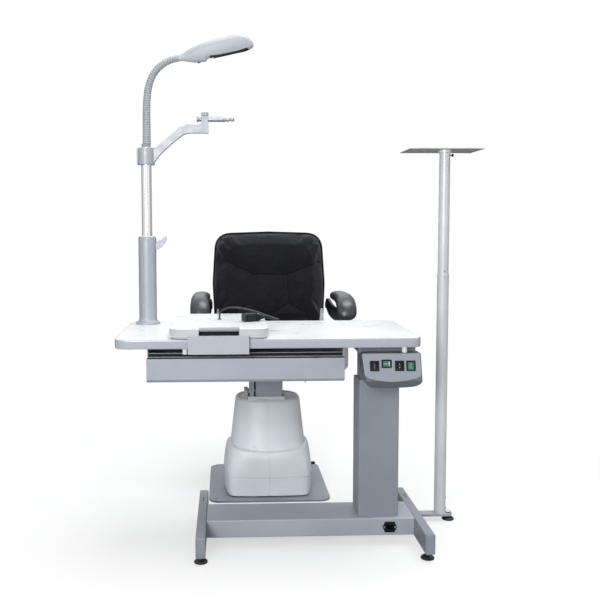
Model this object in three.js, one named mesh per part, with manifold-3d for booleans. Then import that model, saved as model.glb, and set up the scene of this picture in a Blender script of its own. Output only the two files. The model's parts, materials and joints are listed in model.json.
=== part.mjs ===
// Ophthalmic examination unit: a motor-lift instrument table with a sliding instrument board, a pole that
// carries an examination lamp and a refractor arm, a projector stand on an outrigger, and a patient chair.
// Millimetres, +Z up. The origin is the middle of the underside of the chair's base plate, on the floor.

import * as THREE from 'three';
import { mergeVertices } from 'three/addons/utils/BufferGeometryUtils.js';
import Module from 'manifold-3d';

const wasm = await Module();
wasm.setup();

// ---- driving dimensions ----

const GAP = 0.3; // air left between neighbouring pieces
const ROUND = 28; // facets round a large cylinder
const SMALL_ROUND = 14; // facets round a small or hidden cylinder

const table = { x: 118, y: -612 }; // middle of the table's feet, seen from the chair

const footBar = { x: 382, width: 33, length: 475, bottom: 28, top: 97, wall: 3, corner: 5 };
const beam = { depth: 167, bottom: 35, top: 97, wall: 3, corner: 4 };
const levelling = { padR: 23, padH: 12, studR: 5, fromEnd: 36 };
const inlet = { x: 277.5, z: 65, width: 51, height: 38, bodyDepth: 30 };

const column = { x: 240.5, y: -2.5, width: 143, depth: 120, top: 580, wall: 3, corner: 7 };
const innerColumn = { width: 121, depth: 98, bottom: 250, top: 723, wall: 3, corner: 5 };
const actuator = { tubeR: 22, boreR: 15, rodR: 13, top: 470, rodBottom: 300 };
const head = { left: 145, right: 335, front: -190, back: 185, bottom: 701, top: 726.7, wall: 3 };

const tabletop = { left: -655, right: 345, depth: 500, top: 757, thick: 30, corner: 45, band: 2 };
const drawer = { left: -553.5, right: 94, front: -225, back: 150, bottom: 613, top: 691, sheet: 2 };
const bumper = { r: 8.5, height: 18, y: -240, left: -426.5, right: 286.5 };

const board = { x: -317, width: 322, front: -250, back: 190, bottom: 764.5, thick: 28.5, corner: 38 };
const notch = { width: 130, depth: 26, height: 24 };
const carriage = { left: -417, right: -220, front: -264, sheet: 3, bottom: 710.5, top: 771, pan: 5.5 };

const control = { left: 153, right: 343, back: -150, top: 707, bottom: 584, tilt: 0.232 };
const fascia = { x: 243, topY: -246, topZ: 707, height: 91, thick: 3 };
const rocker = { width: 27.4, height: 30.4, depth: 6.5, rim: 0.6, recess: 9 };

const pole = { x: -587, y: 190, flangeR: 45, sleeveR: 33, sleeveTop: 1082, tubeR: 19 };
const poleTube = { bottom: 880, top: 1413, bore: 16.5, ferruleR: 14.5, ferruleTop: 1427 };
const arm = { hubR: 31.5, hubBottom: 1349, hubTop: 1411, width: 26, blockX: 205, blockTop: 1527, rodZ: 1517 };
const neck = { baseR: 13.5, tipR: 9.5, sides: 16, kneeT: 0.36 };
const lamp = { x: 131, z: 1740, rise: 0.218, length: 272 };

const stand = { x: 519.5, y: 150, barTop: 27.6, barThick: 9.5, lowerR: 21.5, upperR: 20, seam: 941 };
const standTube = { upperBottom: 560, upperTop: 1402, wall: 2.2 };
const shelf = { width: 276, depth: 165, thick: 3, frontOverhang: 32, spigotR: 17.2 };

const plate = { size: 500, thick: 8, corner: 45, holeR: 4.5, holeInset: 28 };
const chairColumn = { x: 3, y: -47, width: 114, depth: 150, bottom: 60, top: 480, wall: 3 };
const lowerCover = { y: -7, bottom: 12, stepZ: 91, frontTop: 191, sideTop: 207, wall: 4 };
const upperCover = { y: -32, bottom: 170, top: 398, wall: 3 };
const seat = { x: 19, width: 480, front: -245, back: 205, panBottom: 500, cushionBottom: 509, top: 600 };
const back = { width: 510, height: 440, thick: 66, bottom: 662, y: 176, tilt: -0.105 };
const armrest = { x: 301, width: 80, thick: 42, hingeY: 162, hingeZ: 767 };
const pedal = { y: 60, z: 67, x: 158, reach: 44, padR: 11 };
const heightLever = { x: -79, y: -90, z: 437, reach: 14 };

// ---- finishes ----

function finish(color, roughness, metalness) {
  return new THREE.MeshStandardMaterial({ color, roughness, metalness });
}

const paint = () => finish(0x98a0aa, 0.45, 0.4);
const palePaint = () => finish(0xc4c8d0, 0.45, 0.3);
const laminate = () => finish(0xf2f4f3, 0.35, 0);
const coverPlastic = () => finish(0xcfd3d8, 0.5, 0);
const standPaint = () => finish(0xd6dadb, 0.4, 0.1);
const chrome = () => finish(0xd8d8d8, 0.12, 1);
const steel = () => finish(0x9a9ea3, 0.35, 0.9);
const shelfPaint = () => finish(0x8b8583, 0.5, 0.5);
const rubber = () => finish(0x15161a, 0.7, 0);
const blackPlastic = () => finish(0x1b1c20, 0.45, 0);
const whitePlastic = () => finish(0xf0f1f2, 0.4, 0);
const greenLens = () => finish(0x5aa287, 0.3, 0);
const fabric = () => finish(0x202127, 0.95, 0);
const leather = () => finish(0x17181b, 0.35, 0);

// ---- solids ----

function toSolid(geometry) {
  const bare = geometry.clone();
  bare.deleteAttribute('normal');
  bare.deleteAttribute('uv');
  const merged = mergeVertices(bare, 1e-4);
  const mesh = new wasm.Mesh({
    numProp: 3,
    vertProperties: new Float32Array(merged.attributes.position.array),
    triVerts: new Uint32Array(merged.index.array),
  });
  return new wasm.Manifold(mesh);
}

function toGeometry(solid) {
  const mesh = solid.getMesh();
  const geometry = new THREE.BufferGeometry();
  geometry.setAttribute('position', new THREE.BufferAttribute(new Float32Array(mesh.vertProperties), 3));
  geometry.setIndex(new THREE.BufferAttribute(new Uint32Array(mesh.triVerts), 1));
  return geometry;
}

function join(...geometries) {
  return toGeometry(geometries.map(toSolid).reduce((a, b) => a.add(b)));
}

function cut(body, ...tools) {
  return toGeometry(tools.map(toSolid).reduce((a, b) => a.subtract(b), toSolid(body)));
}

function common(a, b) {
  return toGeometry(toSolid(a).intersect(toSolid(b)));
}

function block(x0, x1, y0, y1, z0, z1) {
  const geometry = new THREE.BoxGeometry(x1 - x0, y1 - y0, z1 - z0);
  return geometry.translate((x0 + x1) / 2, (y0 + y1) / 2, (z0 + z1) / 2);
}

function roundedOutline(width, depth, radius) {
  const shape = new THREE.Shape();
  const x = width / 2 - radius;
  const y = depth / 2 - radius;
  shape.absarc(x, -y, radius, -Math.PI / 2, 0);
  shape.absarc(x, y, radius, 0, Math.PI / 2);
  shape.absarc(-x, y, radius, Math.PI / 2, Math.PI);
  shape.absarc(-x, -y, radius, Math.PI, Math.PI * 1.5);
  return shape;
}

function prism(shape, z0, z1, arcSegments = 6) {
  const settings = { depth: z1 - z0, bevelEnabled: false, curveSegments: arcSegments };
  return new THREE.ExtrudeGeometry(shape, settings).translate(0, 0, z0);
}

function roundedPost(width, depth, radius, z0, z1, arcSegments = 4) {
  return prism(roundedOutline(width, depth, radius), z0, z1, arcSegments);
}

function cylinder(radius, z0, z1, facets = ROUND) {
  const geometry = new THREE.CylinderGeometry(radius, radius, z1 - z0, facets);
  return geometry.rotateX(Math.PI / 2).translate(0, 0, (z0 + z1) / 2);
}

// Turns a list of [radius, height] about the Z axis.
function turned(profile, facets = ROUND) {
  const points = profile.map(([r, z]) => new THREE.Vector2(r, z));
  return new THREE.LatheGeometry(points, facets).rotateX(Math.PI / 2);
}

// A side outline of [across, up] points, extruded along X between x0 and x1, with across along Y.
function alongX(points, x0, x1) {
  const shape = new THREE.Shape(points.map(([y, z]) => new THREE.Vector2(y, z)));
  const geometry = new THREE.ExtrudeGeometry(shape, { depth: x1 - x0, bevelEnabled: false });
  return geometry.rotateX(Math.PI / 2).rotateZ(Math.PI / 2).translate(x0, 0, 0);
}

// An outline in the XZ plane, extruded along Y between y0 and y1.
function alongY(shape, y0, y1, arcSegments = 8) {
  const geometry = new THREE.ExtrudeGeometry(shape, {
    depth: y1 - y0,
    bevelEnabled: false,
    curveSegments: arcSegments,
  });
  return geometry.rotateX(Math.PI / 2).translate(0, y1, 0);
}

// Skins a row of rings that all have the same number of points, and closes both ends.
function loft(rings) {
  const sides = rings[0].length;
  const points = rings.flat();
  const index = [];
  for (let r = 0; r + 1 < rings.length; r++) {
    for (let i = 0; i < sides; i++) {
      const j = (i + 1) % sides;
      const a = r * sides;
      const b = a + sides;
      index.push(a + i, a + j, b + j, a + i, b + j, b + i);
    }
  }
  const lastRing = (rings.length - 1) * sides;
  [rings[0], rings[rings.length - 1]].forEach((ring, end) => {
    const middle = ring.reduce((sum, p) => sum.clone().add(p), new THREE.Vector3()).divideScalar(sides);
    points.push(middle);
    const hub = points.length - 1;
    const start = end === 0 ? 0 : lastRing;
    for (let i = 0; i < sides; i++) {
      const j = (i + 1) % sides;
      index.push(hub, start + (end === 0 ? j : i), start + (end === 0 ? i : j));
    }
  });
  const geometry = new THREE.BufferGeometry().setFromPoints(points);
  geometry.setIndex(index);
  return geometry;
}

// A point on a rounded rectangle-like ring: power 2 is an ellipse, a higher power is squarer.
function squircle(angle, halfX, halfY, power) {
  const c = Math.cos(angle);
  const s = Math.sin(angle);
  const bulge = (Math.abs(c) ** power + Math.abs(s) ** power) ** (-1 / power);
  return [halfX * bulge * c, halfY * bulge * s];
}

function levelRing(sides, halfX, halfY, power, y, heightAt) {
  return Array.from({ length: sides }, (_, i) => {
    const angle = (i / sides) * Math.PI * 2;
    const [px, py] = squircle(angle, halfX, halfY, power);
    return new THREE.Vector3(px, py + y, heightAt(angle));
  });
}

// A ring across a path, in the plane of the given side and up directions.
function ringAcross(centre, side, up, halfSide, halfUp, sides, power = 2) {
  return Array.from({ length: sides }, (_, i) => {
    const [a, b] = squircle((i / sides) * Math.PI * 2, halfSide, halfUp, power);
    return centre.clone().addScaledVector(side, a).addScaledVector(up, b);
  });
}

function part(name, geometry, material) {
  const mesh = new THREE.Mesh(geometry, material);
  mesh.name = name;
  return mesh;
}

function groupAt(x, y, z, ...children) {
  const group = new THREE.Group();
  group.position.set(x, y, z);
  group.add(...children);
  return group;
}

// ---- table base ----

function makeFootBar(side) {
  const { x, width, length, bottom, top, wall, corner } = footBar;
  const height = top - bottom;
  const shell = roundedPost(width, height, corner, -length / 2, length / 2);
  const hollow = roundedPost(width - 2 * wall, height - 2 * wall, 2, wall - length / 2, length / 2 - wall, 1);
  const bar = cut(shell, hollow).rotateX(Math.PI / 2).translate(side * x, 0, (bottom + top) / 2);
  const studY = length / 2 - levelling.fromEnd;
  const studHoles = [-studY, studY].map((y) =>
    cylinder(levelling.studR + 1, bottom - 1, bottom + wall + 1, SMALL_ROUND).translate(side * x, y, 0));
  return part(side < 0 ? 'foot_bar_left' : 'foot_bar_right', cut(bar, ...studHoles), paint());
}

function makeCrossBeam() {
  const half = footBar.x - footBar.width / 2 - GAP;
  const height = beam.top - beam.bottom;
  const middle = (beam.top + beam.bottom) / 2;
  const turn = (g) => g.rotateY(Math.PI / 2).translate(0, 0, middle);
  const shell = turn(roundedPost(height, beam.depth, beam.corner, -half, half));
  const inside = half - beam.wall;
  const hollow = turn(roundedPost(height - 2 * beam.wall, beam.depth - 2 * beam.wall, 2, -inside, inside, 1));
  const front = -beam.depth / 2;
  const inletHole = block(inlet.x - 15, inlet.x + 15, front - 1, front + 5, inlet.z - 11, inlet.z + 11);
  const cableHole = cylinder(12, beam.top - 5, beam.top + 1, SMALL_ROUND).translate(column.x - 40, 25, 0);
  return part('cross_beam', cut(shell, hollow, inletHole, cableHole), paint());
}

function makeLevellingFoot(name, x, y, studTop) {
  const { padR, padH, studR } = levelling;
  const profile = [[0, 0], [padR - 1.5, 0], [padR, 1.5], [padR, 5], [padR - 5, padH - 2], [12, padH]];
  const foot = turned([...profile, [studR, padH], [studR, studTop], [0, studTop]], 20);
  return part(name, foot.translate(x, y, 0), rubber());
}

function makePowerInlet() {
  const { x, z, width, height, bodyDepth } = inlet;
  const flange = new THREE.Shape();
  flange.moveTo(-width / 2, 0);
  flange.lineTo(-width / 2 + 9, height / 2);
  flange.lineTo(width / 2 - 9, height / 2);
  flange.lineTo(width / 2, 0);
  flange.lineTo(width / 2 - 9, -height / 2);
  flange.lineTo(-width / 2 + 9, -height / 2);
  const front = -beam.depth / 2;
  const face = alongY(flange, front - 3, front - GAP).translate(x, 0, z);
  const body = block(x - 14.5, x + 14.5, front - 1, front + bodyDepth, z - 10.5, z + 10.5);
  const socket = block(x - 12, x + 12, front - 4, front + 15, z - 8, z + 8);
  const pins = [-7, 0, 7].map((dx) => block(x + dx - 1, x + dx + 1, front + 4, front + 20, z - 3, z + 3));
  return part('power_inlet', join(cut(join(face, body), socket), ...pins), blackPlastic());
}

function makeColumnSleeve() {
  const { x, y, width, depth, top, wall, corner } = column;
  const shell = roundedPost(width, depth, corner, beam.top + GAP, top);
  const hollow = roundedPost(width - 2 * wall, depth - 2 * wall, corner - wall, beam.top, top + 1);
  return part('column_sleeve', cut(shell, hollow).translate(x, y, 0), paint());
}

function makeActuatorBody() {
  const floor = beam.top + GAP;
  const motor = roundedPost(88, 60, 6, floor, floor + 85, 2);
  const tube = cylinder(actuator.tubeR, floor + 80, actuator.top, SMALL_ROUND);
  const bore = cylinder(actuator.boreR, floor + 95, actuator.top + 1, SMALL_ROUND);
  return part('lift_actuator', cut(join(motor, tube), bore).translate(column.x, column.y, 0), steel());
}

// ---- rising table ----

function makeInnerColumn() {
  const { width, depth, bottom, top, wall, corner } = innerColumn;
  const shell = roundedPost(width, depth, corner, bottom, top);
  const hollow = roundedPost(width - 2 * wall, depth - 2 * wall, 2, bottom - 1, top + 1);
  return part('inner_column', cut(shell, hollow).translate(column.x, column.y, 0), palePaint());
}

function makeActuatorRod() {
  const rod = cylinder(actuator.rodR, actuator.rodBottom, innerColumn.top, SMALL_ROUND);
  return part('actuator_rod', rod.translate(column.x, column.y, 0), chrome());
}

function makeColumnHead() {
  const { left, right, front, back: rear, bottom, top, wall } = head;
  const shell = block(left, right, front, rear, bottom, top);
  const hollow = block(left + wall, right - wall, front + wall, rear - wall, bottom - 1, top - wall);
  return part('column_head', cut(shell, hollow), paint());
}

function tabletopOutline(inset) {
  const width = tabletop.right - tabletop.left - 2 * inset;
  return roundedOutline(width, tabletop.depth - 2 * inset, tabletop.corner - inset);
}

function makeTabletop() {
  const { left, right, top, thick, band } = tabletop;
  const core = prism(tabletopOutline(band), top - thick, top, 7);
  return part('tabletop', core.translate((left + right) / 2, 0, 0), laminate());
}

function makeEdgeBand() {
  const { left, right, top, thick, band } = tabletop;
  const outer = prism(tabletopOutline(0), top - thick, top - 0.4, 7);
  const inner = prism(tabletopOutline(band - GAP), top - thick - 1, top + 1, 7);
  return part('edge_band', cut(outer, inner).translate((left + right) / 2, 0, 0), palePaint());
}

function makeDrawerCabinet() {
  const { left, right, front, back: rear, bottom, top } = drawer;
  const x0 = left + 1.5;
  const x1 = right - 1.5;
  const wall = 3;
  const ceiling = tabletop.top - tabletop.thick - GAP;
  const shell = block(x0, x1, front + 17, rear + 15, bottom + 1, ceiling);
  const trayRoom = block(x0 + wall, x1 - wall, front + 10, rear + 12, bottom - 1, top + 0.6);
  const upperRoom = block(x0 + wall, x1 - wall, front + 10, rear - 30, top + 3.6, ceiling + 1);
  return part('drawer_cabinet', cut(shell, trayRoom, upperRoom), paint());
}

function makeFrontRail() {
  const outline = [[-205, 699], [-180, 699], [-180, 702], [-202, 702], [-202, 708], [-205, 708]];
  return part('front_rail', alongX(outline, drawer.left + 5, drawer.right - 5), palePaint());
}

function makeDrawerFront() {
  const { left, right, front, bottom, top } = drawer;
  const outline = [
    [front + 9, bottom],
    [front + 13, bottom],
    [front + 13, top],
    [front + 2, top],
    [front, top - 2],
    [front, bottom + 12],
  ];
  return part('drawer_front', alongX(outline, left, right), paint());
}

function makeDrawerTray() {
  const { left, right, front, back: rear, bottom, top, sheet } = drawer;
  const x0 = left + 9;
  const x1 = right - 9;
  const y0 = front + 13 + GAP;
  const shell = block(x0, x1, y0, rear, bottom + 4, top - 7);
  const hollow = block(x0 + sheet, x1 - sheet, y0 + sheet, rear - sheet, bottom + 4 + sheet, top);
  return part('drawer_tray', cut(shell, hollow), paint());
}

function makeBumper(name, x) {
  const { r, height, y } = bumper;
  const under = tabletop.top - tabletop.thick - GAP;
  const low = under - height;
  const profile = [[0, low], [r - 1, low], [r, low + 1], [r, under], [0, under]];
  return part(name, turned(profile, SMALL_ROUND).translate(x, y, 0), whitePlastic());
}

// ---- instrument board on its sliding carriage ----

function makeCarriage() {
  const { left, right, front, sheet, bottom, top, pan } = carriage;
  const panTop = board.bottom - GAP;
  const panDepth = board.back - board.front - 8;
  const tray = roundedPost(board.width - 8, panDepth, board.corner - 4, panTop - pan, panTop, 6);
  const middleY = (board.front + board.back) / 2;
  const bridge = block(left, right, front, board.front + 20, panTop - pan, panTop - 2);
  const face = block(left, right, front, front + sheet, bottom, top);
  const hook = block(left, right, front, tabletop.depth / -2 + 22, bottom, bottom + sheet);
  return part('board_carriage', join(tray.translate(board.x, middleY, 0), bridge, face, hook), palePaint());
}

function makeInstrumentBoard() {
  const { x, width, front, back: rear, bottom, thick, corner } = board;
  const top = bottom + thick;
  const slab = roundedPost(width, rear - front, corner, bottom, top, 7).translate(x, (front + rear) / 2, 0);
  const half = notch.width / 2;
  const opening = block(x - half, x + half, front - 1, front + notch.depth, top - notch.height, top + 1);
  const grommet = cylinder(6, top - 12, top + 1, SMALL_ROUND).translate(x, 5, 0);
  return part('instrument_board', cut(slab, opening, grommet), laminate());
}

function makeBoardLatch() {
  const top = board.bottom + board.thick;
  const outline = [
    [board.front - 0.5, top - 9],
    [board.front + 3, top - 9],
    [board.front + 6, top - 5],
    [board.front + notch.depth - 3, top - 5],
    [board.front + notch.depth - 3, top - 0.5],
    [board.front + 1.5, top - 0.5],
    [board.front - 0.5, top - 3],
  ];
  const half = notch.width / 2 - 1;
  return part('board_latch', alongX(outline, board.x - half, board.x + half), palePaint());
}

function makeInstrumentCord() {
  const top = board.bottom + board.thick;
  const plugZ = top + 9;
  const path = new THREE.CatmullRomCurve3([
    new THREE.Vector3(board.x, 5, top - 10),
    new THREE.Vector3(board.x + 1, 5, top + 14),
    new THREE.Vector3(board.x + 22, 0, top + 34),
    new THREE.Vector3(board.x + 75, -15, top + 36),
    new THREE.Vector3(board.x + 132, -35, top + 22),
    new THREE.Vector3(board.x + 158, -55, top + 10),
    new THREE.Vector3(board.x + 145, -68, top + 8),
    new THREE.Vector3(board.x + 118, -68, plugZ),
  ]);
  const circle = new THREE.Shape().absarc(0, 0, 3, 0, Math.PI * 2);
  const cable = new THREE.ExtrudeGeometry(circle, { steps: 22, extrudePath: path, curveSegments: 3 });
  const plugX = board.x + 92;
  const plug = roundedPost(18, 26, 5, -30, 12, 3).rotateY(Math.PI / 2).translate(plugX, -68, plugZ + 1);
  const strain = cylinder(5, 8, 30, SMALL_ROUND).rotateY(Math.PI / 2).translate(plugX, -68, plugZ);
  return part('instrument_cord', join(cable, strain, plug), rubber());
}

// ---- control box ----

function onFascia(geometry) {
  const turn = Math.PI / 2 - control.tilt;
  return geometry.rotateX(turn).translate(fascia.x, fascia.topY, fascia.topZ);
}

// Switches along the fascia: middle from the fascia's centre, middle below its top edge, and size.
const switches = [
  { name: 'table_rocker', x: -57.5, drop: 40.5, wide: rocker.width, tall: rocker.height, axis: 'x' },
  { name: 'projector_rocker', x: -18, drop: 33.5, wide: rocker.height, tall: 24, axis: 'y' },
  { name: 'chair_rocker', x: 24, drop: 40.5, wide: rocker.width, tall: rocker.height, axis: 'x' },
  { name: 'power_rocker', x: 61, drop: 40.5, wide: rocker.width, tall: rocker.height, axis: 'x' },
];

function switchRecess({ x, drop, wide, tall }) {
  const halfW = wide / 2 + rocker.rim;
  const halfH = tall / 2 + rocker.rim;
  const front = fascia.thick + 5;
  return onFascia(block(x - halfW, x + halfW, -drop - halfH, halfH - drop, -rocker.recess, front));
}

function makeControlBox() {
  const { left, right, back: rear, top, bottom } = control;
  const { topY, height } = fascia;
  const lowY = topY - height * Math.sin(control.tilt);
  const lowZ = top - height * Math.cos(control.tilt);
  const side = [
    [topY + 0.4, top - 0.3],
    [lowY + 8, lowZ],
    [lowY + 24, lowZ - 14],
    [lowY + 42, lowZ - 27],
    [lowY + 64, bottom],
    [rear - 12, bottom],
    [rear, bottom + 12],
    [rear, head.bottom - GAP],
    [head.front - GAP, head.bottom - GAP],
    [head.front - GAP, top - 0.3],
  ];
  const outline = new THREE.Shape();
  outline.moveTo(left, top + 1);
  outline.lineTo(left + 7, bottom + 28);
  outline.quadraticCurveTo(left + 12, bottom + 8, left + 50, bottom + 3);
  outline.quadraticCurveTo(left + 110, bottom - 3, right - 22, bottom + 9);
  outline.quadraticCurveTo(right, bottom + 14, right, bottom + 34);
  outline.lineTo(right - 4, top + 1);
  const solid = common(alongX(side, left - 5, right + 5), alongY(outline, -300, rear + 1));
  const room = block(left + 16, right - 12, head.front + 4, rear - 4, bottom + 24, head.bottom + 5);
  return part('control_box', cut(solid, room, ...switches.map(switchRecess)), paint());
}

function makeFascia() {
  const { height, thick } = fascia;
  const outline = new THREE.Shape();
  outline.moveTo(-90, 0);
  outline.quadraticCurveTo(-97, 0, -97, -7);
  outline.lineTo(-90, -68);
  outline.quadraticCurveTo(-88, -78, -74, -82);
  outline.quadraticCurveTo(0, -height - 12, 78, -82);
  outline.quadraticCurveTo(95, -78, 95, -66);
  outline.lineTo(92, -7);
  outline.quadraticCurveTo(92, 0, 85, 0);
  const panel = onFascia(prism(outline, GAP, thick + GAP, 6));
  return part('control_fascia', cut(panel, ...switches.map(switchRecess)), paint());
}

function makeRocker({ name, x, drop, wide, tall, axis }) {
  const half = (axis === 'x' ? tall : wide) / 2;
  const span = axis === 'x' ? wide : tall;
  const outline = [[-half, -3], [half, -3], [half, 3.8], [0, 2.2], [-half, 3.8]];
  const cap = alongX(outline, -span / 2, span / 2);
  if (axis === 'y') {
    cap.rotateZ(Math.PI / 2);
  }
  const lit = name === 'power_rocker' || name === 'projector_rocker';
  return part(name, onFascia(cap.translate(x, -drop, 0)), lit ? greenLens() : blackPlastic());
}

// ---- pole, refractor arm and lamp (drawn about the pole's axis) ----

function makePoleSleeve() {
  const foot = tabletop.top + GAP;
  const { flangeR, sleeveR, sleeveTop, tubeR } = pole;
  const profile = [
    [sleeveR - 4, foot],
    [flangeR, foot],
    [flangeR, foot + 6],
    [flangeR - 2, foot + 8],
    [sleeveR + 4, foot + 9],
    [sleeveR + 1, foot + 12],
    [sleeveR, foot + 18],
    [sleeveR, sleeveTop - 2],
    [sleeveR - 2, sleeveTop],
    [tubeR + GAP, sleeveTop],
    [tubeR + GAP, sleeveTop - 45],
    [sleeveR - 4, sleeveTop - 50],
    [sleeveR - 4, foot],
  ];
  return part('pole_sleeve', turned(profile), paint());
}

function makePoleTube() {
  const { bottom, top, bore, ferruleR, ferruleTop } = poleTube;
  const profile = [
    [bore, bottom],
    [pole.tubeR, bottom],
    [pole.tubeR, top],
    [ferruleR, top],
    [ferruleR, ferruleTop],
    [0, ferruleTop],
    [0, top - 8],
    [bore, top - 8],
    [bore, bottom],
  ];
  return part('pole_tube', turned(profile), chrome());
}

function makeClampLever() {
  const outline = new THREE.Shape();
  outline.moveTo(34, 1043);
  outline.quadraticCurveTo(50, 1040, 62, 1056);
  outline.quadraticCurveTo(71, 1068, 72, 1080);
  outline.quadraticCurveTo(68, 1085, 64, 1082);
  outline.quadraticCurveTo(58, 1068, 46, 1066);
  outline.lineTo(34, 1068);
  return part('clamp_lever', alongY(outline, -7, 7, 5), paint());
}

function makeRefractorArm() {
  const { hubR, hubBottom, hubTop, width, blockX, blockTop, rodZ } = arm;
  const outline = new THREE.Shape();
  outline.moveTo(24, hubBottom);
  outline.quadraticCurveTo(60, 1392, 100, 1431);
  outline.quadraticCurveTo(128, 1455, 152, 1466);
  outline.lineTo(blockX + 26, 1466);
  outline.lineTo(blockX + 26, blockTop);
  outline.lineTo(blockX, blockTop);
  outline.lineTo(blockX, 1504);
  outline.quadraticCurveTo(blockX, 1496, blockX - 8, 1496);
  outline.lineTo(156, 1496);
  outline.quadraticCurveTo(136, 1496, 124, 1486);
  outline.lineTo(28, 1404);
  const beamPart = alongY(outline, -width / 2, width / 2);
  const hub = cylinder(hubR, hubBottom, hubTop);
  const bore = cylinder(pole.tubeR + GAP, hubBottom - 1, hubTop + 1);
  const rodBore = cylinder(10, blockX - 5, blockX + 40, SMALL_ROUND).rotateY(Math.PI / 2);
  return part('refractor_arm', cut(join(hub, beamPart), bore, rodBore.translate(0, 0, rodZ)), paint());
}

function makeArmCap() {
  const profile = [[0, 0], [12, 0], [13.5, 1.5], [13.5, 14], [12, 15.5], [0, 15.5]];
  const cap = turned(profile, 16).translate(arm.blockX + 13, 0, arm.blockTop + GAP);
  return part('arm_cap', cap, steel());
}

function makeHolderRod() {
  const profile = [[0, 188], [10, 188], [10.5, 190], [8.5, 202], [8.5, 204], [9.6, 204], [9.6, 294]];
  const tip = [[7, 296], [7, 325], [6, 327], [0, 327]];
  const rod = turned([...profile, ...tip], 16).rotateY(Math.PI / 2);
  const crossHole = cylinder(2.5, -10, 10, 12).translate(315, 0, 0);
  return part('holder_rod', cut(rod, crossHole).translate(0, 0, arm.rodZ), steel());
}

function neckPath() {
  return new THREE.CatmullRomCurve3([
    new THREE.Vector3(0, 0, poleTube.ferruleTop + GAP),
    new THREE.Vector3(1, 0, 1540),
    new THREE.Vector3(4, 0, 1590),
    new THREE.Vector3(10, 0, 1632),
    new THREE.Vector3(22, 0, 1668),
    new THREE.Vector3(42, 0, 1698),
    new THREE.Vector3(70, 0, 1721),
    new THREE.Vector3(100, 0, 1734),
    new THREE.Vector3(lamp.x, 0, lamp.z),
  ]);
}

function neckTube(from, to, rings) {
  const path = neckPath();
  const across = new THREE.Vector3(0, 1, 0);
  return loft(Array.from({ length: rings }, (_, i) => {
    const t = from + ((to - from) * i) / (rings - 1);
    const radius = neck.baseR + (neck.tipR - neck.baseR) * t;
    const up = new THREE.Vector3().crossVectors(path.getTangentAt(t), across);
    return ringAcross(path.getPointAt(t), across, up, radius, radius, neck.sides);
  }));
}

function makeNeckLower() {
  const knee = neckPath().getPointAt(neck.kneeT);
  const ball = new THREE.SphereGeometry(8, 10, 6).translate(knee.x, knee.y, knee.z);
  return part('neck_lower', join(neckTube(0, neck.kneeT - 0.004, 5), ball), paint());
}

function makeNeckUpper() {
  return part('neck_upper', neckTube(neck.kneeT + 0.026, 0.972, 12), paint());
}

// Lamp sections: distance along the lamp, half width, height of the top and of the underside.
const lampSections = [
  [-4, 9, 8, -8],
  [18, 14, 16, -13],
  [46, 23, 27, -20],
  [84, 30, 34, -22],
  [92, 31, 36, -13],
  [140, 34, 38, -12],
  [205, 35, 36, -10],
  [245, 32, 31, -6],
  [262, 24, 24, -1],
  [lamp.length, 11, 13, 5],
];

function onLamp(geometry) {
  return geometry.rotateY(-lamp.rise).translate(lamp.x, 0, lamp.z);
}

function lampSolid(sections) {
  const across = new THREE.Vector3(0, 1, 0);
  const up = new THREE.Vector3(0, 0, 1);
  return loft(sections.map(([s, half, high, low]) => {
    const centre = new THREE.Vector3(s, 0, (high + low) / 2);
    return ringAcross(centre, across, up, half, (high - low) / 2, 20, 2.6);
  }));
}

function lampOpening(inset) {
  const shape = new THREE.Shape();
  const half = 28 - inset;
  const end = 252 - inset;
  shape.moveTo(104 + inset, -half);
  shape.lineTo(end - 20, -half);
  shape.quadraticCurveTo(end, -half, end, 0);
  shape.quadraticCurveTo(end, half, end - 20, half);
  shape.lineTo(104 + inset, half);
  return shape;
}

function makeLampShell() {
  const reflector = prism(lampOpening(0), -40, 14, 6);
  const switchBore = cylinder(6, -40, -8, SMALL_ROUND).translate(62, 0, 0);
  return part('lamp_shell', onLamp(cut(lampSolid(lampSections), reflector, switchBore)), paint());
}

function makeLampLens() {
  return part('lamp_lens', onLamp(prism(lampOpening(0.6), 0, 3, 6)), whitePlastic());
}

function makeLampSwitch() {
  return part('lamp_switch', onLamp(cylinder(5.4, -24, -13, 16).translate(62, 0, 0)), blackPlastic());
}

// ---- projector stand (drawn about the stand tube's axis) ----

function makeOutrigger() {
  const { x, barTop, barThick } = stand;
  const inner = footBar.x - footBar.width / 2 - x;
  const outline = new THREE.Shape();
  outline.moveTo(inner, -20);
  outline.lineTo(26, -20);
  outline.absarc(26, 0, 20, -Math.PI / 2, Math.PI / 2);
  outline.lineTo(inner, 20);
  const bar = prism(outline, barTop - barThick, barTop, 10);
  const studHole = cylinder(levelling.studR + 0.5, barTop - barThick - 1, barTop + 1, SMALL_ROUND);
  return part('stand_outrigger', cut(bar, studHole.translate(32, 0, 0)), paint());
}

function makeStandLowerTube() {
  const { barTop, lowerR, upperR, seam } = stand;
  const floor = barTop + GAP;
  const bore = upperR + GAP;
  const profile = [[bore, floor], [lowerR, floor], [lowerR, seam - 1], [lowerR - 0.8, seam], [bore, seam]];
  return part('stand_lower_tube', turned([...profile, [bore, floor]]), standPaint());
}

function makeStandUpperTube() {
  const { upperR } = stand;
  const { upperBottom, upperTop, wall } = standTube;
  const bore = upperR - wall;
  const profile = [[bore, upperBottom], [upperR, upperBottom], [upperR, upperTop], [bore, upperTop]];
  return part('stand_upper_tube', turned([...profile, [bore, upperBottom]]), standPaint());
}

function makeShelf() {
  const { width, depth, thick, frontOverhang, spigotR } = shelf;
  const under = standTube.upperTop + GAP;
  const y0 = -frontOverhang;
  const deck = block(-width / 2, width / 2, y0, y0 + depth, under, under + thick);
  const spigot = cylinder(spigotR, under - 55, under + 1, SMALL_ROUND);
  return part('projector_shelf', join(deck, spigot), shelfPaint());
}

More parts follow.
